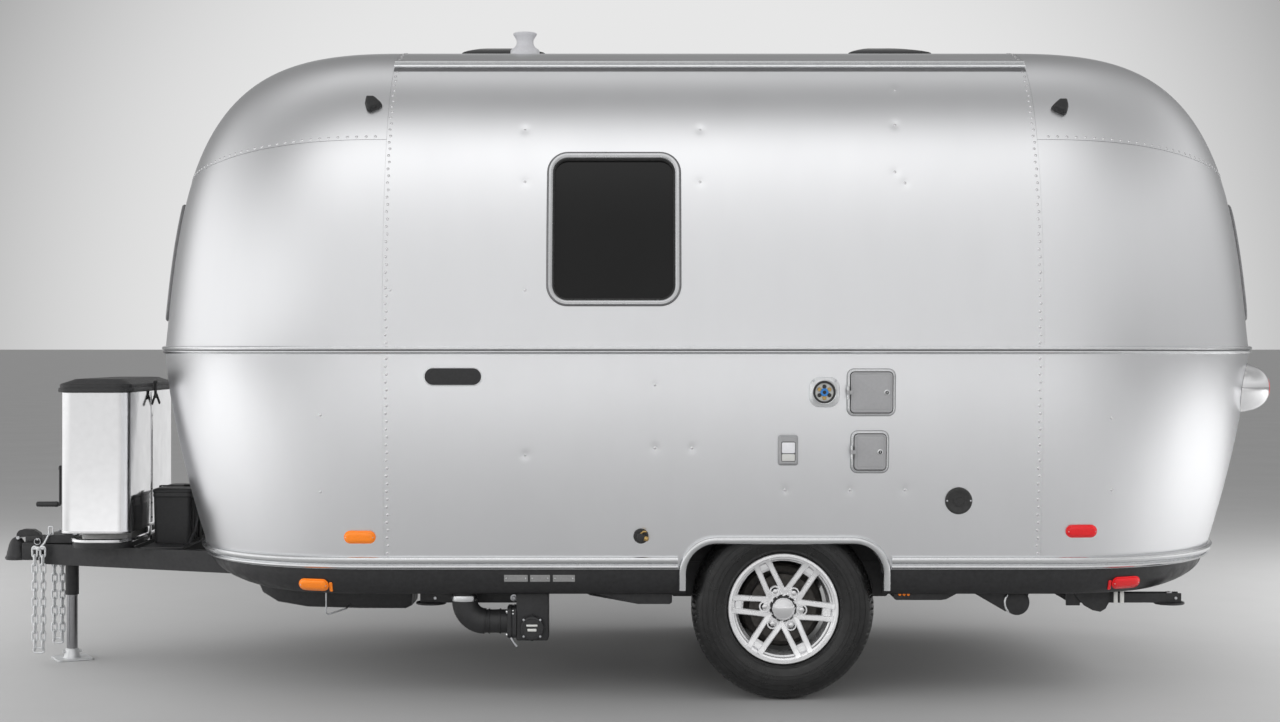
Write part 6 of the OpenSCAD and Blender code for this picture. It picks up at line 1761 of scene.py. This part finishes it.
def make_rear_brackets(b, side):
    """A wedge bracket with a round end behind the rear pan, a plate beside the hanger and two straps."""
    y, (x, z) = side * WEDGE_Y, WEDGE_END
    upright(b, WEDGE, sorted((y - side * 0.06, y + side * 0.03)))
    revolve(b, (x, y, z), (0, side, 0), [(0.046, -0.03), (0.048, 0.03), (0.046, 0.036), (0.03, 0.04),
            (0.012, 0.04)], n=36)
    turns = [radians(a) for a in range(-48, 43, 10)]
    edge = [Vector((x - 0.0475 * cos(a), y + side * 0.034, z + 0.0475 * sin(a))) for a in turns]
    tube(b, edge, [0.002] + [0.0052] * 8 + [0.002], mat=1)
    upright(b, HANGER_PLATE, sorted((side * 0.872, side * 0.88)))
    for x in (1.897, 1.921):
        block(b, (x, side * 0.905 - 0.003, 0.352), (x + 0.015, side * 0.905 + 0.003, FLOOR_Z), 0.0012, 2)


def make_pans():
    """What hangs under the floor, with a wire in front and three small bulbs on the rear pan."""
    b = Build()
    for side in (-1, 1):
        make_splash_pans(b, side)
        make_belly_pan(b, side)
        make_rear_brackets(b, side)
    wire = [(-1.118, -0.7, BELLY_TOP), (-1.118, -0.735, 0.395), (-1.118, -0.8, 0.38), (-1.118, -0.8, 0.302),
            (-1.112, -0.8, 0.295), (-1.04, -0.8, 0.318), (-1.03, -0.76, 0.33)]
    tube(b, wire, 0.0032, n=8, mat=3)
    bulb = [(0.006, -0.001), (0.006, 0.003), (0.0045, 0.006), (0.0015, 0.0072)]
    for x in (1.07, 1.086, 1.102):
        revolve(b, (x, -1.002, 0.398), (0, -1, 0), bulb, n=12, mat=4)
    b.piece("pans_and_brackets", [CHASSIS, TRIM, WHITE, ZINC, AMBER], slot="black_frame", angle=30)


make_drain()
for tag in STABILIZERS:
    make_stabilizer(tag)
make_pans()

# Lamps
LAMP_L, LAMP_H = 0.118, 0.048
MARKERS = {-1: (0.09, 0.621), 1: (0.15, 0.643)}
SKIRT_LAMPS = {-1: (0.273, 0.436), 1: (0.338, 0.442)}
CLEARANCE = {-1: (0.06, BELT + 0.7692 * RISE), 1: (0.1, BELT + 0.76 * RISE)}
CLEARANCE_SHAPE = ((0.029, 0.026), (0.031, 0.002), (0.0216, -0.024), (0.0096, -0.03), (-0.024, -0.014),
                   (-0.036, -0.003), (-0.017, 0.014), (-0.0024, 0.0254))
POD_Y, POD_Z, POD_R, POD_L, POD_LENS = 0.55, 1.167, 0.098, 0.15, 0.052
POD_TIP = SEAM[1] + END + 0.004


def lamp(lens, place, x, z):
    """A long round-ended lamp with two screws."""
    outline = rounded(x, z, LAMP_L, LAMP_H, LAMP_H / 2 - 0.0001, k=12, m=8)
    flat(lens, outline, place, [(0.0, 0.0003), (0.0, 0.005), (0.0012, 0.0066), (0.004, 0.007),
                                (0.0046, 0.0095), (0.0062, 0.0128), (0.009, 0.0152), (0.013, 0.0166),
                                (0.018, 0.017)])
    for s in (-1, 1):
        p, q = place(x + s * (LAMP_L / 2 - 0.01), z, 0.014), place(x + s * (LAMP_L / 2 - 0.01), z, 0.015)
        dome(lens, p, (q - p).normalized(), 0.0032, 0.0016, 10, 1)


def clearance_lamp(build, side, d):
    """A wedge-shaped lamp with clipped corners, high on a shoulder of the shell."""
    out, z = CLEARANCE[d]
    x = SEAM[d] + d * out

    def loop(k, off):
        rough = [(a * k, b * k) for a, b in CLEARANCE_SHAPE]
        pts = []
        for i, (a, b) in enumerate(rough):
            a0, b0 = rough[i - 1]
            a1, b1 = rough[(i + 1) % len(rough)]
            for f, g in ((0.12, 0.0), (0.03, 0.03), (0.0, 0.12)):
                pts.append((a + (a0 - a) * f + (a1 - a) * g, b + (b0 - b) * f + (b1 - b) * g))
        return [wall_at(side, x + d * a, z + b, off)[0] for a, b in pts]

    loft(build, [loop(k, off) for k, off in ((1.0, 0.0006), (1.0, 0.009), (0.97, 0.012), (0.93, 0.0125),
            (0.9, 0.02), (0.8, 0.026), (0.62, 0.0295), (0.5, 0.03))])


def make_lamps():
    """Marker lamps on walls and skirt, clearance lamps and tail lamp pods."""
    amber, red, black, pods = Build(), Build(), Build(), Build()
    for side in (-1, 1):
        for d, lens in ((-1, amber), (1, red)):
            def on_side(x, z, off):
                return wall_at(side, x, z, off)[0]

            def on_skirt(x, z, off):
                return skirt_patch(d, side, x, z, off)

            lamp(lens, on_side, SEAM[d] + d * MARKERS[d][0], MARKERS[d][1])
            x, z = SEAM[d] + d * SKIRT_LAMPS[d][0], SKIRT_LAMPS[d][1]
            lamp(lens, on_skirt, x, z)
            strip = rounded(x - d * (LAMP_L / 2 + 0.008), z - 0.007, 0.012, 0.038, 0.004, k=4, m=2)
            flat(lens, strip, on_skirt, [(0.0, 0.0003), (0.0, 0.005), (0.002, 0.007)])
            clearance_lamp(black, side, d)
        tail_pod(pods, red, side)
    amber.piece("amber_lenses", [AMBER, ZINC], slot="amber_lens", nodes=["lamps_amber"], angle=30)
    red.piece("red_lenses", [RED, ZINC], slot="red_lens", nodes=["lamps_red"], angle=30)
    black.piece("clearance_wedges", PLASTIC, slot="black_plastic", nodes=["clearance_lamps"], angle=30)
    pods.piece("tail_pod_shells", POLISHED, slot="trim_metal", nodes=["tail_pods"], angle=40)


def tail_pod(pods, lens, side, n=56):
    """A domed pod that starts on the rear wall, with a ribbed round lens in its tip."""
    at = Vector((0, side * POD_Y, POD_Z))

    def tip(r):
        return POD_TIP - POD_L + POD_L * (1 - (r / POD_R) ** 2.6) ** (1 / 2.6)

    def circle(r, x=None):
        pts = []
        for j in range(n):
            a = 2 * pi * j / n
            y, z = at.y + r * cos(a), at.z + r * sin(a)
            wall = tail_at(1, y, z, FIT)[0].x
            pts.append(Vector((wall if x is None else max(wall, x), y, z)))
        return pts

    radii = [POD_R - (POD_R - POD_LENS) * (i / 14) ** 1.6 for i in range(15)]
    loft(pods, [circle(0.9 * POD_R), circle(POD_R)] + [circle(r, tip(r)) for r in radii]
         + [circle(POD_LENS - 0.001, tip(POD_LENS) - 0.004), circle(0.03, tip(POD_LENS) - 0.004)])
    rows = [circle(POD_LENS - 0.0012, tip(POD_LENS) - 0.004 + FIT)]
    for i in range(12):
        r = (POD_LENS - 0.0012) * (1 - i / 12)
        rows.append(circle(r, tip(r) - 0.0012 * (i % 2)))
    loft(lens, rows)


make_lamps()

# Roof vents and vent pipe
VENT_BASE, VENT_BASE_H, VENT_LID = 0.36, 0.024, 0.35
VENT_AXIS, KNUCKLE_R, KNUCKLE = 0.192, 0.008, 0.06
VENT_SEAT = ROOF + FIT + VENT_BASE_H
PIPE_X, PIPE_Y = VENTS[0] + 0.099, -0.3


def make_roof_fittings():
    """The vents' frames with their hinges, and the vent pipe."""
    b = Build()
    z = ROOF + FIT
    for v in VENTS:
        base = rounded(v, 0, VENT_BASE, VENT_BASE, 0.03, k=8, m=6)
        hole = rounded(v, 0, VENT_HOLE, VENT_HOLE, 0.004, k=8, m=6)
        loops = [level(base, inset, z + h) for inset, h in ((0.0, 0.0), (0.0, 0.004), (0.003, 0.006),
                (0.008, 0.0065), (0.01, 0.02), (0.013, 0.024))]
        loops += [level(hole, 0.0, z + h) for h in (0.024, 0.0)]
        loft(b, loops, closed=True)
        for s in (-1, 1):
            revolve(b, (v - VENT_AXIS, s * KNUCKLE, VENT_SEAT), (0, 1, 0), [(0.0065, -0.029),
                    (KNUCKLE_R, -0.0275), (KNUCKLE_R, 0.0275), (0.0065, 0.029)], n=20)
            y = s * KNUCKLE
            block(b, (v - VENT_AXIS - 0.006, y - 0.028, z), (v - VENT_AXIS + 0.018, y + 0.028, z + 0.022),
                  0.002)
        tube(b, [(v - VENT_AXIS, -0.085, VENT_SEAT), (v - VENT_AXIS, 0.085, VENT_SEAT)], 0.0039, n=14, mat=1)
    foot, top = ROOF - 0.0018, 0.1
    section = [(0.06, 0.0), (0.06, 0.026), (0.056, 0.032), (0.048, 0.037), (0.041, 0.043), (0.0365, 0.05),
               (0.0345, 0.057), (0.034, 0.064), (0.0355, 0.072), (0.0395, 0.08), (0.044, 0.087),
               (0.0475, 0.092), (0.0485, 0.0955), (0.0475, 0.0985), (0.044, top), (0.038, top),
               (0.034, 0.094), (0.033, 0.08)]
    revolve(b, (PIPE_X, PIPE_Y, foot), Z_AXIS, section, n=48, mat=2)
    b.piece("vent_frames_and_pipe", [PLASTIC, ZINC, PALE], slot="black_plastic", nodes=["roof_fittings"],
            angle=40)


def make_vent_lid(v, tag):
    """A domed vent lid with its hinge's middle knuckle."""
    b = Build()
    shape = rounded(v, 0, VENT_LID, VENT_LID, 0.034, k=10, m=6)
    z = VENT_SEAT + FIT
    peak = (v - 0.047, 0)
    rows = [(0.3, 0.034), (0.6, 0.026), (0.86, 0.014), (0.942, 0.006), (0.944, 0.0), (0.995, 0.0),
            (1.0, 0.002), (1.0, 0.011), (0.99, 0.015), (0.965, 0.018), (0.865, 0.025), (0.74, 0.0315),
            (0.6, 0.038), (0.48, 0.043), (0.365, 0.047), (0.27, 0.05), (0.2, 0.0515), (0.08, 0.052)]
    loft(b, [level(shape, 0.0, z + h, (k, k), peak) for k, h in rows])
    revolve(b, (v - VENT_AXIS, 0, VENT_SEAT), (0, 1, 0), [(0.0042, -0.029), (KNUCKLE_R, -0.029),
            (KNUCKLE_R, 0.029), (0.0042, 0.029)], n=20, closed=True)
    block(b, (v - VENT_AXIS + 0.005, -0.029, z), (v - VENT_LID / 2 + 0.006, 0.029, z + KNUCKLE_R - FIT),
          0.0015)
    b.piece(f"vent_dome_{tag}", SMOKED, body=f"vent_{tag}_body", slot="smoked_lid",
            nodes=[f"vent_lid_{tag}"], angle=35)


make_roof_fittings()
for v, tag in zip(VENTS, ("front", "rear")):
    make_vent_lid(v, tag)

# Door, step and brake details
HANDLE_X, HANDLE_Z = DOOR_X + DOOR_W - 0.105, BELT - 0.19
STEP_X, STEP_Y, STEP_TOP = (DOOR_X + 0.276, DOOR_X + 0.676), (RAIL_Y + 0.0503, RAIL_Y + 0.2983), 0.33


def make_door_details():
    """The door window's moulding and seal, rivets round the edge, and the handle's rim, lock and collars."""
    b = Build()
    glass = rounded(*DOOR_WINDOW, m=12)
    ring(b, on_wall(1), glass, [(-0.02, 0.0003), (-0.02, 0.005), (-0.018, 0.0075), (-0.014, 0.0085),
                                (-0.004, 0.0085), (0.002, 0.006), (0.004, 0.003), (0.004, -0.002),
                                (0.0005, -0.002), (0.0005, 0.0003)])
    ring(b, on_wall(1), glass, [(0.003, 0.0), (0.004, 0.0036), (0.007, 0.004), (0.01, 0.0015), (0.01, -0.004),
                                (0.003, -0.004)], 1)
    edge = [at for at in door_outline(m=60)(0.022) if abs(at[1] - BELT) > 0.03]
    spaced_rivets(b, [wall_at(1, *at, 0.0002) for at in edge], DOOR_PITCH)
    plate = rounded(HANDLE_X, HANDLE_Z, 0.084, 0.19, 0.02, k=8, m=4)
    ring(b, on_wall(1), plate, [(0.003, 0.0115), (0.003, 0.014), (0.005, 0.0152), (0.008, 0.014),
                                (0.009, 0.0115)])
    p, n = wall_at(1, HANDLE_X - 0.024, HANDLE_Z - 0.06, 0.0115)
    revolve(b, p, n, [(0.011, 0.0), (0.011, 0.004), (0.009, 0.0062), (0.007, 0.0062), (0.0064, 0.0045)],
            n=28, mat=2)
    revolve(b, p, n, [(0.006, 0.0), (0.006, 0.005), (0.002, 0.0054)], n=20, mat=1)
    bar_y = wall_at(1, HANDLE_X, HANDLE_Z)[0].y + 0.028
    for s in (-1, 1):
        p, n = wall_at(1, HANDLE_X, HANDLE_Z + s * 0.06, 0.0115)
        revolve(b, p, n, [(0.014, 0.0), (0.014, 0.0024), (0.011, 0.0052), (0.0075, 0.006)], n=28, mat=2)
        revolve(b, (HANDLE_X, bar_y, HANDLE_Z + s * 0.075), (0, 0, s), [(0.0094, -0.01), (0.0108, -0.008),
                (0.0112, -0.002), (0.0104, 0.003), (0.007, 0.0058)], n=28, mat=2)
    b.piece("door_details", [MOULDING, GASKET, ZINC], body="door_body", slot="trim_metal", angle=50)


def make_step_details():
    """Grip strips and a nosing on the pull-out step."""
    b = Build()
    (x0, x1), (y0, y1) = STEP_X, STEP_Y
    for k in range(7):
        y = y0 + 0.045 + 0.03 * k
        block(b, (x0 + 0.04, y - 0.008, STEP_TOP - 0.0005), (x1 - 0.04, y + 0.008, STEP_TOP + 0.003), 0.001,
              1)
    block(b, (x0 + 0.004, y1 - 0.002, STEP_TOP - 0.03), (x1 - 0.004, y1 + 0.004, STEP_TOP + 0.002), 0.0025)
    for x in (x0 + 0.06, (x0 + x1) / 2, x1 - 0.06):
        bolt(b, (x, y1 + 0.004, STEP_TOP - 0.014), (0, 1, 0), r=0.006, h=0.004, mat=2)
    b.piece("step_grip", [TRIM, GASKET, ZINC], body="step_body", slot="black_frame", angle=40)


def make_brake_shields():
    """A dished dust shield with bolts round each brake plate."""
    b = Build()
    for side in (-1, 1):
        at = Vector((WHEEL_X, side * (HALF_TRACK - 0.037), TYRE_D / 2))
        revolve(b, at, (0, side, 0), [(0.12, -0.0028), (0.148, -0.0028), (0.156, -0.012), (0.158, -0.012),
                                      (0.151, 0.0), (0.149, 0.0028), (0.12, 0.0028)], n=64, closed=True)
        for k in range(8):
            g = 2 * pi * k / 8
            bolt(b, at + Vector((0.138 * cos(g), -side * 0.0028, 0.138 * sin(g))), (0, -side, 0), r=0.006,
                 h=0.005, mat=1)
    b.piece("brake_shields", [CAST, ZINC], slot="black_frame", angle=35)


make_door_details()
make_step_details()
make_brake_shields()

# The CAD nodes that stay
KEPT = {
    "floor_slab": BOARD, "wheel_housings": PLASTIC, "chassis_rails": CHASSIS,
    "crossmembers": CHASSIS, "tongue_beams": CHASSIS, "axle": CHASSIS, "step_guides": CHASSIS,
    "door_hinges": TRIM, "drum_left": CAST, "drum_right": CAST, "door_glass": GLASS, "door_hardware": TRIM,
    "entry_step": CHASSIS,
}
for name, mat in KEPT.items():
    ob = NODES[name]
    ob.data.materials.clear()
    ob.data.materials.append(mat)
for name in ("chassis_rails", "crossmembers", "tongue_beams", "axle", "step_guides", "door_hinges",
             "door_hardware", "entry_step"):
    add_bevel(NODES[name], 0.002)
